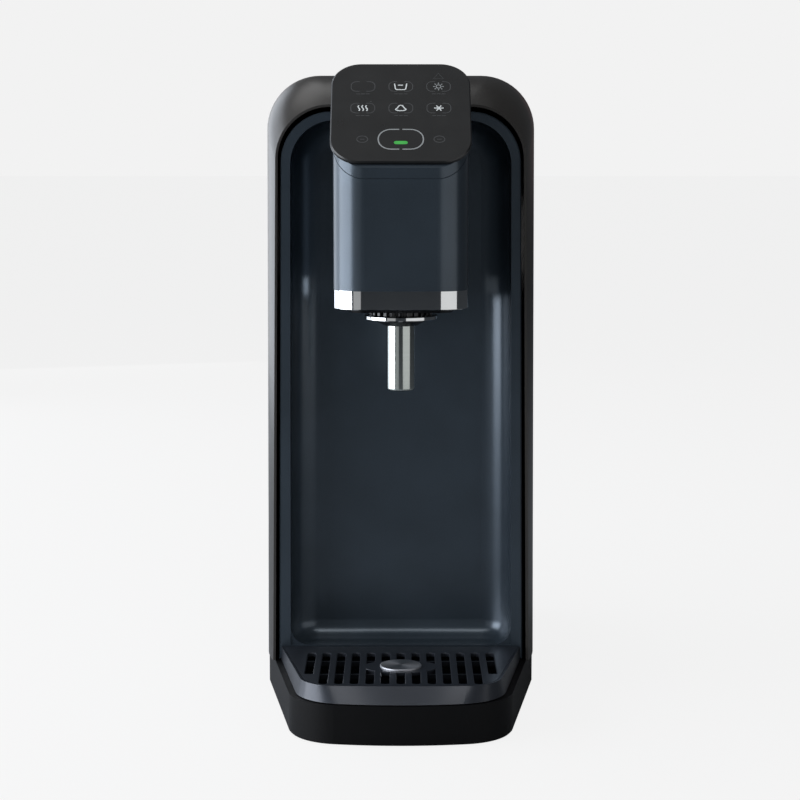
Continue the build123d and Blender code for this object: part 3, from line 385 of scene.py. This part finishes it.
# ---- Compressor ------------------------------------------------------------------------------
# The sealed pump that chills the tank: a pressed steel can in black stove enamel, thick and
# glossy with a slight orange peel, on three rubber mounts.
enamel = moulded(
    "black_stove_enamel", "0a0a0b", "111112", 0.2, 3.0, 0.25,
    **{"Coat Weight": 0.5, "Coat Roughness": 0.1},
)
wear(enamel, "compressor")

# ---- Condenser -------------------------------------------------------------------------------
# Thin aluminium fins pressed on to a copper tube that runs back and forth through them. The
# fan blows through it and out of the rear cover.
FIN_COUNT = 40
FIN_THICKNESS = 0.35 * MM
TUBE_RUNS = 6
TUBE_RADIUS = 2.6 * MM
TUBE_SIDES = 12
END_PLATE = 1.2 * MM
BEND_STEPS = 8
fin_low, fin_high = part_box("condenser")
fin_middle = (fin_low + fin_high) / 2
run_pitch = (fin_high.z - fin_low.z) / (TUBE_RUNS + 0.5)
tube_left = fin_low.x + run_pitch / 2 + TUBE_RADIUS
tube_right = fin_high.x - run_pitch / 2 - TUBE_RADIUS


def swept(shape, points, radius, sides, facing):
    """Round tube along a flat route, with closed ends."""
    rings = []
    for step, point in enumerate(points):
        before = points[max(step - 1, 0)]
        after = points[min(step + 1, len(points) - 1)]
        along = (after - before).normalized()
        aside = along.cross(facing).normalized()
        rings.append([
            shape.verts.new(point + radius * (math.cos(turn) * aside + math.sin(turn) * facing))
            for turn in (side * math.tau / sides for side in range(sides))
        ])
    for lower, upper in zip(rings, rings[1:]):
        for side in range(sides):
            after = (side + 1) % sides
            shape.faces.new((lower[side], lower[after], upper[after], upper[side]))
    shape.faces.new(rings[0][::-1])
    shape.faces.new(rings[-1])


def block(shape, low, high):
    """Box between two corners."""
    plan = ((low[0], low[1]), (high[0], low[1]), (high[0], high[1]), (low[0], high[1]))
    corners = [shape.verts.new(Vector((x, y, z))) for z in (low[2], high[2]) for x, y in plan]
    for face in ((3, 2, 1, 0), (4, 5, 6, 7), (0, 1, 5, 4), (1, 2, 6, 5), (2, 3, 7, 6), (3, 0, 4, 7)):
        shape.faces.new([corners[corner] for corner in face])


def upright_plate(shape, x, thickness):
    """Thin plate across the condenser, as tall and as deep as it is."""
    block(
        shape, (x - thickness / 2, fin_low.y, fin_low.z), (x + thickness / 2, fin_high.y, fin_high.z),
    )


fins = bmesh.new()
fin_span = tube_right - tube_left
for fin in range(FIN_COUNT):
    x = tube_left + (fin + 0.5) * fin_span / FIN_COUNT
    upright_plate(fins, x, FIN_THICKNESS)
for x in (tube_left, tube_right):
    upright_plate(fins, x, END_PLATE)

route = []
for run in range(TUBE_RUNS):
    z = fin_low.z + (run + 0.75) * run_pitch
    ends = (tube_left, tube_right) if run % 2 == 0 else (tube_right, tube_left)
    route += [Vector((ends[0], fin_middle.y, z)), Vector((ends[1], fin_middle.y, z))]
    if run < TUBE_RUNS - 1:
        side = 1 if run % 2 == 0 else -1
        for turn in range(1, BEND_STEPS):
            angle = turn * math.pi / BEND_STEPS
            route.append(Vector((
                ends[1] + side * run_pitch / 2 * math.sin(angle), fin_middle.y,
                z + run_pitch / 2 * (1 - math.cos(angle)),
            )))
serpentine = bmesh.new()
swept(serpentine, route, TUBE_RADIUS, TUBE_SIDES, Vector((0, 1, 0)))

# Mill-finish aluminium is pale grey and fairly dull, with fine rolling marks.
aluminium = moulded("aluminium_mill_finish", "aeb1b3", "c4c6c8", 0.38, 0.8, 0.2, Metallic=1.0)
copper = moulded("copper_tube_drawn", "a8654a", "bd7a5c", 0.3, 2.0, 0.1, Metallic=1.0)
fin_mesh = new_mesh("condenser_fins", fins)
fin_piece = add_piece("condenser_fins", fin_mesh, aluminium, "housing")
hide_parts("condenser")
add_piece("condenser_tube", new_mesh("condenser_tube", serpentine), copper, "housing")

# ---- Fan -------------------------------------------------------------------------------------
# Square shroud and seven-bladed rotor in glass-filled nylon, which is black, matt and a
# little streaky where the fibres lie. The rotor's blades are curved and pitched.
BLADES = 7
BLADE_THICKNESS = 1.2 * MM
BLADE_STEPS = 8
CHORD_ROOT = 13               # millimetres, at the hub
CHORD_GROWTH = 9              # how much wider the blade is at its tip
ROOT_SINK = 0.5 * MM          # how far the blades go into the hub
BLADE_MARGIN = 1 * MM         # space between the blades and the hub's end faces
HUB_RADIUS = 13.0 * MM
HUB_BORE = 2.3 * MM
HUB_ROUND = 2 * MM
HUB_ROUND_SHORT = 0.6 * MM
HUB_SIDES = 40
PITCH_ROOT = math.radians(38)
PITCH_TIP = math.radians(24)
SWEEP = math.radians(22)
nylon = moulded("nylon_glass_filled", "0e0e0f", "1a1a1b", 0.5, 1.6, 0.5)
wear(nylon, "fan_shroud")

fan_joint = next(joint for joint in record["behaviour"]["joints"] if joint["name"] == "fan_spin")
fan_low, fan_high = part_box("fan_rotor")
fan_middle = Vector(fan_joint["pos_m"])
fan_middle.y = (fan_low.y + fan_high.y) / 2
fan_depth = fan_high.y - fan_low.y
blade_tip = fan_high.z - fan_middle.z
rotor = bmesh.new()
turned = Matrix.Translation(fan_middle) @ Matrix.Rotation(math.radians(-90), 4, "X")
half = fan_depth / 2
hub_profile = [
    (HUB_BORE, -half), (HUB_RADIUS, -half), (HUB_RADIUS, half - HUB_ROUND),
    (HUB_RADIUS - HUB_ROUND_SHORT, half - HUB_ROUND_SHORT), (HUB_RADIUS - HUB_ROUND, half),
    (HUB_BORE, half), (HUB_BORE, -half),
]
lathe(rotor, hub_profile, HUB_SIDES, turned)
for blade in range(BLADES):
    start = blade * math.tau / BLADES
    rows = []
    for step in range(BLADE_STEPS + 1):
        part = step / BLADE_STEPS
        radius = HUB_RADIUS - ROOT_SINK + part * (blade_tip - HUB_RADIUS + ROOT_SINK)
        pitch = PITCH_ROOT + part * (PITCH_TIP - PITCH_ROOT)
        chord = (CHORD_ROOT + CHORD_GROWTH * part) * MM
        centre = start + SWEEP * part * part
        row = []
        for way, skin in ((-0.5, 1), (0.0, 1), (0.5, 1), (0.5, -1), (0.0, -1), (-0.5, -1)):
            along = way * chord
            rise = along * math.sin(pitch) + skin * BLADE_THICKNESS / 2
            rise = max(-half + BLADE_MARGIN, min(half - BLADE_MARGIN, rise))
            angle = centre + along * math.cos(pitch) / radius
            corner = Vector((radius * math.cos(angle), radius * math.sin(angle), rise))
            row.append(rotor.verts.new(turned @ corner))
        rows.append(row)
    for lower, upper in zip(rows, rows[1:]):
        for side in range(6):
            after = (side + 1) % 6
            rotor.faces.new((lower[side], lower[after], upper[after], upper[side]))
    rotor.faces.new(rows[0][::-1])
    rotor.faces.new(rows[-1])
rotor_piece = add_piece("fan_blades", new_mesh("fan_blades", rotor, 50), nylon, "fan")
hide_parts("fan_rotor")

# ---- Brackets --------------------------------------------------------------------------------
# Folded from hot-dip galvanised sheet, whose zinc freezes in crystals about 8 mm across, so
# the grey changes a little from one crystal to the next.
SPANGLE = 8.0 * MM
galvanised, tree, place = new_material("steel_sheet_galvanised")
crystals = add_node(tree, "ShaderNodeTexVoronoi", {"Scale": 1 / SPANGLE, "feature": "F1"}, {"Vector": place})
crystal_shade = add_node(tree, "ShaderNodeSeparateColor", {}, {0: crystals.outputs["Color"]})
tint = add_node(
    tree, "ShaderNodeMix", {"data_type": "RGBA", 6: linear("8d9194"), 7: linear("b2b6b8")},
    {0: crystal_shade.outputs[0]},
)
gloss = add_node(tree, "ShaderNodeMapRange", {3: 0.35, 4: 0.55}, {0: crystal_shade.outputs[1]})
close_material(tree, add_node(
    tree, "ShaderNodeBsdfPrincipled", {"Metallic": 1.0},
    {"Base Color": tint.outputs[2], "Roughness": gloss.outputs[0]},
))
wear(galvanised, "heater_bracket", "valve_bracket")

# ---- Valve block and outlet block ------------------------------------------------------------
# Food-grade white acetal, machined and moulded: opaque, slippery and evenly satin. The water
# and drain fittings on the rear cover are the same.
acetal = moulded("white_acetal_moulded", "c9c8c2", "d6d5d0", 0.35, 1.0, 0.15)
wear(acetal, "valve_block", "outlet_block", "inlet_fitting", "drain_socket")

# ---- Circuit boards --------------------------------------------------------------------------
# Glass-epoxy boards with green solder mask over etched copper, so lighter tracks run through
# a deep glossy green. Tracks are about 1 mm wide with 2 mm between them.
TRACK_PITCH = 3.0 * MM
board, tree, place = new_material("glass_epoxy_solder_masked")
grid = add_node(
    tree, "ShaderNodeTexBrick",
    {"Scale": 1 / (4 * TRACK_PITCH), "Color1": linear("0f3d20"), "Color2": linear("12492a"),
     "Mortar": linear("2b6a3d"), "Mortar Size": 0.06, "Brick Width": 1.6, "Row Height": 0.5},
    {"Vector": place},
)
close_material(tree, add_node(
    tree, "ShaderNodeBsdfPrincipled", {"Roughness": 0.28, "IOR": 1.5, "Coat Weight": 0.3},
    {"Base Color": grid.outputs[0]},
))
wear(board, "power_board", "control_board", "touch_board")

# ---- Water tubes -----------------------------------------------------------------------------
# Polyethylene tube, milky and half clear, extruded with faint lengthwise drawing marks. One
# brings cold water and the other hot water to the outlet block in the head.
polyethylene, tree, place = new_material("polyethylene_tube_extruded")
marks = add_node(tree, "ShaderNodeTexNoise", {"Scale": 1 / (3 * MM), "Detail": 2.0}, {"Vector": place})
tint = add_node(
    tree, "ShaderNodeMix", {"data_type": "RGBA", 6: linear("d3dde2"), 7: linear("e6edf0")},
    {0: marks.outputs[0]},
)
close_material(tree, add_node(
    tree, "ShaderNodeBsdfPrincipled",
    {"Roughness": 0.3, "IOR": 1.51, "Transmission Weight": 0.35, "Subsurface Weight": 0.2,
     "Subsurface Scale": 1.5 * MM},
    {"Base Color": tint.outputs[2]},
))
wear(polyethylene, "cold_tube", "hot_tube")

# ---- Housing shell, rear cover and filter lid ------------------------------------------------
# One arched cover of graphite ABS wraps the top and both sides. The rear cover and the lid
# over the filters are moulded in the same colour, with a satin, lightly textured skin.
graphite_abs = moulded("graphite_abs_satin", "2d2b2a", "353330", 0.34, 0.8, 0.3)
wear(graphite_abs, "housing_shell", "filter_cover", "rear_cover")

# ---- Recess liner, head covers, tray and grille ----------------------------------------------
# ABS mouldings sprayed with a blue-grey pearl lacquer under a thin clear coat. The mica in
# it sparkles faintly and darkens away from the light, like a metal. The flakes are 0.05 mm
# in fact and drawn at 0.5 mm, so that the sparkle can be seen at all.
FLAKE = 0.5 * MM


def pearl_lacquer(name, dark, light, roughness):
    """Sprayed pearl lacquer with mica flakes and a clear coat."""
    material, tree, place = new_material(name)
    flakes = add_node(
        tree, "ShaderNodeTexVoronoi", {"Scale": 1 / FLAKE, "feature": "F1"}, {"Vector": place},
    )
    flake_shade = add_node(tree, "ShaderNodeSeparateColor", {}, {0: flakes.outputs["Color"]})
    mist = add_node(
        tree, "ShaderNodeTexNoise", {"Scale": 1 / (45 * MM), "Detail": 2.0}, {"Vector": place},
    )
    both = add_node(
        tree, "ShaderNodeMath", {"operation": "MULTIPLY_ADD", 1: 0.14},
        {0: flake_shade.outputs[0], 2: mist.outputs[0]},
    )
    tint = add_node(
        tree, "ShaderNodeMix", {"data_type": "RGBA", 6: linear(dark), 7: linear(light)}, {0: both.outputs[0]},
    )
    gloss = add_node(
        tree, "ShaderNodeMapRange", {3: roughness - 0.02, 4: roughness + 0.02}, {0: flake_shade.outputs[1]},
    )
    peel = add_node(
        tree, "ShaderNodeTexNoise", {"Scale": 1 / (4 * MM), "Detail": 1.0}, {"Vector": place},
    )
    bump = add_node(
        tree, "ShaderNodeBump", {"Strength": 0.08, "Distance": 0.05 * MM}, {"Height": peel.outputs[0]},
    )
    close_material(tree, add_node(
        tree, "ShaderNodeBsdfPrincipled",
        {"Metallic": 0.55, "Coat Weight": 0.25, "Coat Roughness": 0.18, "IOR": 1.5},
        {"Base Color": tint.outputs[2], "Roughness": gloss.outputs[0], "Normal": bump.outputs[0]},
    ))
    return material


pearl = pearl_lacquer("blue_grey_pearl_lacquer", "333c44", "434e58", 0.3)
wear(pearl, "front_liner", "head_cover", "head_cap")
# The tray and the grille take the same lacquer, but it dries duller on their textured skin.
tray_pearl = pearl_lacquer("blue_grey_pearl_lacquer_dull", "282c32", "343840", 0.38)
wear(tray_pearl, "drip_tray", "drip_grille")

# ---- Target disc -----------------------------------------------------------------------------
# A small stainless disc is pressed into the grille under the nozzle. It is spun-brushed, so
# its grey face shows fine rings and a streak of light across it.
disc_low, disc_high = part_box("grille_disc")
disc_middle = (disc_low + disc_high) / 2
RING_PITCH = 0.6 * MM         # the brush lines are finer, and are drawn coarser here
spun_steel, tree, place = new_material("stainless_steel_spun_brushed")
centred = add_node(tree, "ShaderNodeVectorMath", {"operation": "SUBTRACT", 1: disc_middle}, {0: place})
rings = add_node(
    tree, "ShaderNodeTexWave",
    {"wave_type": "RINGS", "rings_direction": "Z", "Scale": 0.31 / RING_PITCH, "Distortion": 0.6},
    {"Vector": centred.outputs[0]},
)
tint = add_node(
    tree, "ShaderNodeMix", {"data_type": "RGBA", 6: linear("a6a8ae"), 7: linear("c8cace")},
    {0: rings.outputs[1]},
)
bump = add_node(
    tree, "ShaderNodeBump", {"Strength": 0.15, "Distance": 0.03 * MM}, {"Height": rings.outputs[1]},
)
close_material(tree, add_node(
    tree, "ShaderNodeBsdfPrincipled", {"Metallic": 1.0, "Roughness": 0.42, "Anisotropic": 0.5},
    {"Base Color": tint.outputs[2], "Normal": bump.outputs[0]},
))
wear(spun_steel, "grille_disc")

# ---- Control panel ---------------------------------------------------------------------------
# A plate of smoke-tinted acrylic, 2.4 mm thick, bonded to the sloped top of the head. Its top
# is hard-coated against fingers: nearly black, smooth, with a soft sheen that smudges vary.
panel_plate, tree, place = new_material("smoked_acrylic_hard_coated")
smudge = add_node(tree, "ShaderNodeTexNoise", {"Scale": 1 / (14 * MM), "Detail": 4.0}, {"Vector": place})
tint = add_node(
    tree, "ShaderNodeMix", {"data_type": "RGBA", 6: linear("121314"), 7: linear("191a1b")},
    {0: smudge.outputs[0]},
)
gloss = add_node(tree, "ShaderNodeMapRange", {3: 0.24, 4: 0.36}, {0: smudge.outputs[0]})
close_material(tree, add_node(
    tree, "ShaderNodeBsdfPrincipled", {"IOR": 1.49},
    {"Base Color": tint.outputs[2], "Roughness": gloss.outputs[0]},
))
wear(panel_plate, "control_panel")

# ---- Printed keys ----------------------------------------------------------------------------
# The touch keys are screen-printed on the panel: line symbols in pale grey ink, dim outlines
# round each key, and a ringed key with the light bar in it. The ink stands 0.04 mm proud.
PANEL_SLOPE = math.radians(46)
INK = 0.04 * MM
COLUMN = 23.9                 # the sizes below are in millimetres on the panel
ROWS = (22.3, 3.1, -24.0)
KEY = (15.0, 8.6, 3.4)        # width, height and corner of a key's outline
RINGED_KEY = (28.0, 17.0, 8.0)
SUN_RAYS = 8
upward = Vector((0, math.cos(PANEL_SLOPE), math.sin(PANEL_SLOPE)))
outward = Vector((0, -math.sin(PANEL_SLOPE), math.cos(PANEL_SLOPE)))
plate = [corner.co for corner in nodes["control_panel"].data.vertices]
face_height = max(corner.dot(outward) for corner in plate)
plate_up = [corner.dot(upward) for corner in plate]
plate_centre = (max(plate_up) + min(plate_up)) / 2


def on_panel(x, v, lift):
    """Point on the panel's face, from millimetres across and up from its middle."""
    return Vector((x * MM, 0, 0)) + upward * (plate_centre + v * MM) + outward * (face_height + lift)


def arc(x, v, radius_x, radius_v, start, end, steps=10):
    """Points on part of an ellipse, in degrees from the right."""
    turns = [math.radians(start + (end - start) * step / steps) for step in range(steps + 1)]
    return [(x + radius_x * math.cos(turn), v + radius_v * math.sin(turn)) for turn in turns]


def key_outline(x, v, width, height, corner, gap):
    """Two facing brackets round a key, with a gap each side of its middle line."""
    left = arc(x - width / 2 + corner, v + height / 2 - corner, corner, corner, 90, 180, 6)
    left += arc(x - width / 2 + corner, v - height / 2 + corner, corner, corner, 180, 270, 6)
    left = [(x - gap, v + height / 2), *left, (x - gap, v - height / 2)]
    return [left, [(2 * x - px, pv) for px, pv in left]]


def print_lines(name, lines, material, width):
    """Inked lines on the panel, each a thin raised strip."""
    ink = bmesh.new()
    for line in lines:
        closed = line[0] == line[-1] and len(line) > 2
        points = line[:-1] if closed else line
        count = len(points)
        strip = []
        for step, (x, v) in enumerate(points):
            before = points[step - 1] if closed or step else points[step]
            after = points[(step + 1) % count] if closed or step < count - 1 else points[step]
            along = Vector((after[0] - before[0], after[1] - before[1])).normalized()
            side = Vector((-along.y, along.x)) * width / 2
            strip.append([
                ink.verts.new(on_panel(x + sign * side.x, v + sign * side.y, lift))
                for sign, lift in ((-1, 0), (1, 0), (1, INK), (-1, INK))
            ])
        pairs = list(zip(strip, strip[1:])) + ([(strip[-1], strip[0])] if closed else [])
        for near, far in pairs:
            for corner in range(4):
                after = (corner + 1) % 4
                ink.faces.new((near[corner], near[after], far[after], far[corner]))
        if not closed:
            ink.faces.new(strip[0][::-1])
            ink.faces.new(strip[-1])
    return add_piece(name, new_mesh(name, ink, 30), material, "housing")


def ink_finish(name, colour, glow):
    """Matt screen-printing ink with a slightly uneven film, lit a little from behind."""
    material, tree, place = new_material(name)
    film = add_node(tree, "ShaderNodeTexNoise", {"Scale": 1 / (1.5 * MM), "Detail": 2.0}, {"Vector": place})
    shade = [part * 0.8 for part in linear(colour)[:3]] + [1.0]
    tint = add_node(
        tree, "ShaderNodeMix", {"data_type": "RGBA", 6: shade, 7: linear(colour)}, {0: film.outputs[0]},
    )
    close_material(tree, add_node(
        tree, "ShaderNodeBsdfPrincipled",
        {"Roughness": 0.6, "IOR": 1.5, "Emission Color": linear(colour), "Emission Strength": glow},
        {"Base Color": tint.outputs[2]},
    ))
    return material


white_ink = ink_finish("screen_ink_white", "c3c8c9", 0.38)
grey_ink = ink_finish("screen_ink_grey", "85898b", 0.35)
dim_ink = ink_finish("screen_ink_dim", "3c3e40", 0.25)

row_top, row_mid, row_low = ROWS


def spoke(x, v, turn, inner, outer):
    """Straight line out from a middle, between two pairs of half width and half height."""
    near = (x + inner[0] * math.cos(turn), v + inner[1] * math.sin(turn))
    far = (x + outer[0] * math.cos(turn), v + outer[1] * math.sin(turn))
    return [near, far]


cup = [(-4.0, row_top + 2.6), (-3.4, row_top - 1.6), *arc(-2.2, row_top - 1.6, 1.2, 1.2, 180, 270, 4),
       *arc(2.0, row_top - 1.6, 1.2, 1.2, 270, 360, 4), (3.8, row_top + 2.6)]
water_level = [(-1.8, row_top + 1.2), (1.4, row_top + 1.2)]
waves = [
    [
        (-COLUMN + offset + 0.55 * math.sin(step * math.tau / 8), row_mid - 2.4 + step * 0.6)
        for step in range(9)
    ]
    for offset in (-2.4, 0.0, 2.4)
]
cloud_line = [
    (-3.4, row_mid - 1.2), (-2.4, row_mid - 0.2), *arc(0, row_mid + 1.2, 1.5, 1.3, 170, 10, 8),
    (2.4, row_mid - 0.2), (3.4, row_mid - 1.2), *arc(0, row_mid - 1.2, 3.2, 1.1, -20, -160, 8),
    (-3.4, row_mid - 1.2),
]
flake_arms = [
    spoke(COLUMN, row_mid, turn, (-3.0, -2.6), (3.0, 2.6)) for turn in (0, math.pi / 3, 2 * math.pi / 3)
]
sun = [arc(COLUMN, row_top, 1.5, 1.5, 0, 360, 16)]
sun_rays = [
    spoke(COLUMN, row_top, step * math.tau / SUN_RAYS, (2.3, 2.3), (3.4, 3.4)) for step in range(SUN_RAYS)
]
print_lines("print_key_symbols", [cup, water_level, *waves, cloud_line, *flake_arms], white_ink, 0.75)
print_lines("print_small_symbols", [*sun, *sun_rays], grey_ink, 0.6)

ring = key_outline(0, row_low, *RINGED_KEY, 1.0)
print_lines("print_ringed_key", ring, grey_ink, 0.8)

dim_lines = []
for v in (row_top, row_mid):
    for x in (-COLUMN, 0.0, COLUMN):
        dim_lines += key_outline(x, v, *KEY, 2.2)
        dim_lines += [[(x + dash - 1.2, v - 6.6), (x + dash + 1.2, v - 6.6)] for dash in (-3.0, 0.0, 3.0)]
triangle = [(COLUMN - 3.2, row_top + 7.0), (COLUMN, row_top + 12.0), (COLUMN + 3.2, row_top + 7.0)]
triangle.append(triangle[0])
dim_lines += [triangle, [(-COLUMN + 4.6, row_mid + 5.8), (-COLUMN + 5.6, row_mid + 5.8)]]
for x in (-COLUMN, COLUMN):
    dim_lines += [arc(x, row_low, 3.4, 2.8, 0, 360, 16), [(x - 1.4, row_low), (x + 1.4, row_low)]]
print_lines("print_dim_outlines", dim_lines, dim_ink, 0.5)

# ---- Light bar -------------------------------------------------------------------------------
# A bar of clear acrylic that carries the light of a green lamp on the touch board up to the
# panel's face. It is brightest in the middle, straight over the lamp.
bar_low, bar_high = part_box("led_guide")
bar_middle = (bar_low + bar_high) / 2
light_bar, tree, place = new_material("acrylic_light_guide_lit")
off_lamp = add_node(tree, "ShaderNodeVectorMath", {"operation": "DISTANCE", 1: bar_middle}, {0: place})
fade = add_node(
    tree, "ShaderNodeMapRange", {1: 0.0, 2: 7 * MM, 3: 1.25, 4: 0.55}, {0: off_lamp.outputs["Value"]},
)
close_material(tree, add_node(
    tree, "ShaderNodeBsdfPrincipled",
    {"Base Color": linear("1d4a24"), "Roughness": 0.25, "IOR": 1.49, "Emission Color": linear("43b04d")},
    {"Emission Strength": fade.outputs[0]},
))
wear(light_bar, "led_guide")

# ---- Chrome band and nozzle flange -----------------------------------------------------------
# Moulded ABS plated with copper, nickel and bright chromium. It mirrors the room, a shade
# darker than silver, with a very slight waviness from the plastic under it.
chrome, tree, place = new_material("chromium_plated_abs")
ripple = add_node(tree, "ShaderNodeTexNoise", {"Scale": 1 / (12 * MM), "Detail": 1.0}, {"Vector": place})
bump = add_node(
    tree, "ShaderNodeBump", {"Strength": 0.05, "Distance": 0.1 * MM}, {"Height": ripple.outputs[0]},
)
film = add_node(
    tree, "ShaderNodeMix", {"data_type": "RGBA", 6: linear("d9dbdc"), 7: linear("e8eaea")},
    {0: ripple.outputs[0]},
)
close_material(tree, add_node(
    tree, "ShaderNodeBsdfPrincipled", {"Metallic": 1.0, "Roughness": 0.07},
    {"Base Color": film.outputs[2], "Normal": bump.outputs[0]},
))
wear(chrome, "chrome_band", "nozzle_flange")

# ---- Nozzle tube -----------------------------------------------------------------------------
# Drawn stainless tube, ground round its circumference and polished, so its reflections are
# bright upright bands that are softer than the chrome's. Grinding lines are drawn 0.5 mm apart.
GRIND_LINE = 0.5 * MM
ground_steel, tree, place = new_material("stainless_steel_ground_polished")
squeezed = add_node(
    tree, "ShaderNodeMapping", {"Scale": (1 / (30 * MM), 1 / (30 * MM), 1 / GRIND_LINE)}, {"Vector": place},
)
lines = add_node(tree, "ShaderNodeTexNoise", {"Scale": 1.0, "Detail": 2.0}, {"Vector": squeezed.outputs[0]})
tint = add_node(
    tree, "ShaderNodeMix", {"data_type": "RGBA", 6: linear("b0b6b2"), 7: linear("c0c5c2")},
    {0: lines.outputs[0]},
)
gloss = add_node(tree, "ShaderNodeMapRange", {3: 0.08, 4: 0.14}, {0: lines.outputs[0]})
close_material(tree, add_node(
    tree, "ShaderNodeBsdfPrincipled", {"Metallic": 1.0},
    {"Base Color": tint.outputs[2], "Roughness": gloss.outputs[0]},
))
wear(ground_steel, "nozzle_tube")

# ---- Underside, lock ring and collar ---------------------------------------------------------
# Black acetal: harder and glossier than the ABS, because its mould is polished. The plate
# closes the head from below, the ring turns to free the nozzle, and the collar drops with it.
black_acetal = moulded("black_acetal_polished_mould", "07080a", "0c0d0f", 0.26, 1.2, 0.12)
wear(black_acetal, "head_underside", "nozzle_ring", "nozzle_collar")

# ---- Power inlet and rocker switches ---------------------------------------------------------
# Bought-in parts in black nylon, like the fan: a three-pin inlet and two rockers that switch
# the heater and the cooler. The rockers are glossier, from the fingers that press them.
wear(nylon, "power_inlet", "hot_switch_frame", "cold_switch_frame")
rocker_nylon = moulded("nylon_polished_mould", "0c0c0d", "141415", 0.24, 1.4, 0.1)
wear(rocker_nylon, "hot_switch_rocker", "cold_switch_rocker")

# ---- Camera ----------------------------------------------------------------------------------
# Eye level with the head of the machine, straight in front and looking slightly down. A long
# lens keeps the upright edges nearly parallel.
VIEW_DISTANCE = 1.404         # metres from the middle of the footprint
VIEW_HEIGHT = 0.3678
VIEW_DOWN = 7.06              # degrees
camera_data = bpy.data.cameras.new("camera")
camera_data.sensor_width = 36.0
camera_data.lens = 90.0
camera = bpy.data.objects.new("camera", camera_data)
bpy.context.collection.objects.link(camera)
camera.location = (-0.0005, -VIEW_DISTANCE, VIEW_HEIGHT)
camera.rotation_euler = (math.radians(90 - VIEW_DOWN), 0, 0)
bpy.context.scene.camera = camera

# ---- Floor -----------------------------------------------------------------------------------
# A plain sheet of pale paper. It looks nearly white, yet lights the machine only weakly from
# below, as a studio table that is lit by itself would.
FLOOR_HALF = 30.0             # metres
floor_shape = bmesh.new()
bmesh.ops.create_grid(floor_shape, x_segments=1, y_segments=1, size=FLOOR_HALF)
floor_mesh = bpy.data.meshes.new("floor")
floor_shape.to_mesh(floor_mesh)
floor = bpy.data.objects.new("floor", floor_mesh)
bpy.context.collection.objects.link(floor)
PAPER = "f8f8f8"
paper, tree, place = new_material("white_paper")
rays = add_node(tree, "ShaderNodeLightPath")
lit = add_node(tree, "ShaderNodeBsdfDiffuse", {"Color": linear("e8e8e8")})
glow = add_node(tree, "ShaderNodeEmission", {"Color": linear(PAPER), "Strength": 1.0})
seen = add_node(tree, "ShaderNodeMixShader", {0: 0.08}, {1: glow.outputs[0], 2: lit.outputs[0]})
greyed = add_node(tree, "ShaderNodeBsdfDiffuse", {"Color": linear("9b9ea2")})
both = add_node(
    tree, "ShaderNodeMixShader", {},
    {0: rays.outputs["Is Camera Ray"], 1: greyed.outputs[0], 2: seen.outputs[0]},
)
close_material(tree, both)
floor_mesh.materials.append(paper)

# ---- Studio light ----------------------------------------------------------------------------
# A bright wall of light on the left and a dimmer window on the right make the upright
# highlights. Weaker boxes in front and overhead lift the cove, the panel and the tray, and two
# behind catch the sides. The rest of the room is dim, so flat faces stay dark between them.


def softbox(name, spot, aim, width, height, radiance, colour="ffffff"):
    """Rectangular area light that faces a point, from its size and surface brightness."""
    lamp = bpy.data.lights.new(name, "AREA")
    lamp.shape = "RECTANGLE"
    lamp.size = width
    lamp.size_y = height
    lamp.energy = radiance * math.pi * width * height
    lamp.color = linear(colour)[:3]
    box = bpy.data.objects.new(name, lamp)
    bpy.context.collection.objects.link(box)
    box.visible_camera = False
    box.location = spot
    box.rotation_euler = (Vector(aim) - Vector(spot)).to_track_quat("-Z", "Y").to_euler()


aim = (0, -0.1, 0.25)
softbox("left_wall", (-1.5, -0.45, 0.45), aim, 1.7, 1.3, 6.0, "f4f8ff")
softbox("left_rear", (-1.15, 0.95, 0.55), aim, 1.4, 1.4, 2.0, "eef5ff")
softbox("left_front", (-0.8, -1.55, 0.5), aim, 0.8, 1.2, 0.35)
softbox("right_window", (1.11, -1.15, 0.45), aim, 1.85, 1.0, 0.75)
softbox("front_top", (-0.1, -1.05, 1.9), aim, 1.3, 0.6, 3.0)
softbox("overhead", (0.1, -0.1, 2.2), (0.1, -0.1, 0), 1.2, 0.8, 0.32)
softbox("top_patch", (-0.5, 0.5, 1.8), aim, 1.2, 0.8, 1.6)
softbox("rear_left", (-0.62, 1.95, 0.5), aim, 0.8, 1.1, 0.8)
softbox("rear_right", (0.62, 1.95, 0.65), aim, 0.8, 0.7, 0.12, "e8b0a6")

world = bpy.data.worlds.new("studio")
bpy.context.scene.world = world
world.use_nodes = True
tree = world.node_tree
tree.nodes.clear()
rays = add_node(tree, "ShaderNodeLightPath")
room = add_node(tree, "ShaderNodeBackground", {"Color": linear("8d9196"), "Strength": 0.3})
page = add_node(tree, "ShaderNodeBackground", {"Color": linear("f2f2f2"), "Strength": 1.0})
seen = add_node(
    tree, "ShaderNodeMixShader", {},
    {0: rays.outputs["Is Camera Ray"], 1: room.outputs[0], 2: page.outputs[0]},
)
add_node(tree, "ShaderNodeOutputWorld", {}, {"Surface": seen.outputs[0]})
bpy.context.scene.view_settings.view_transform = "Standard"
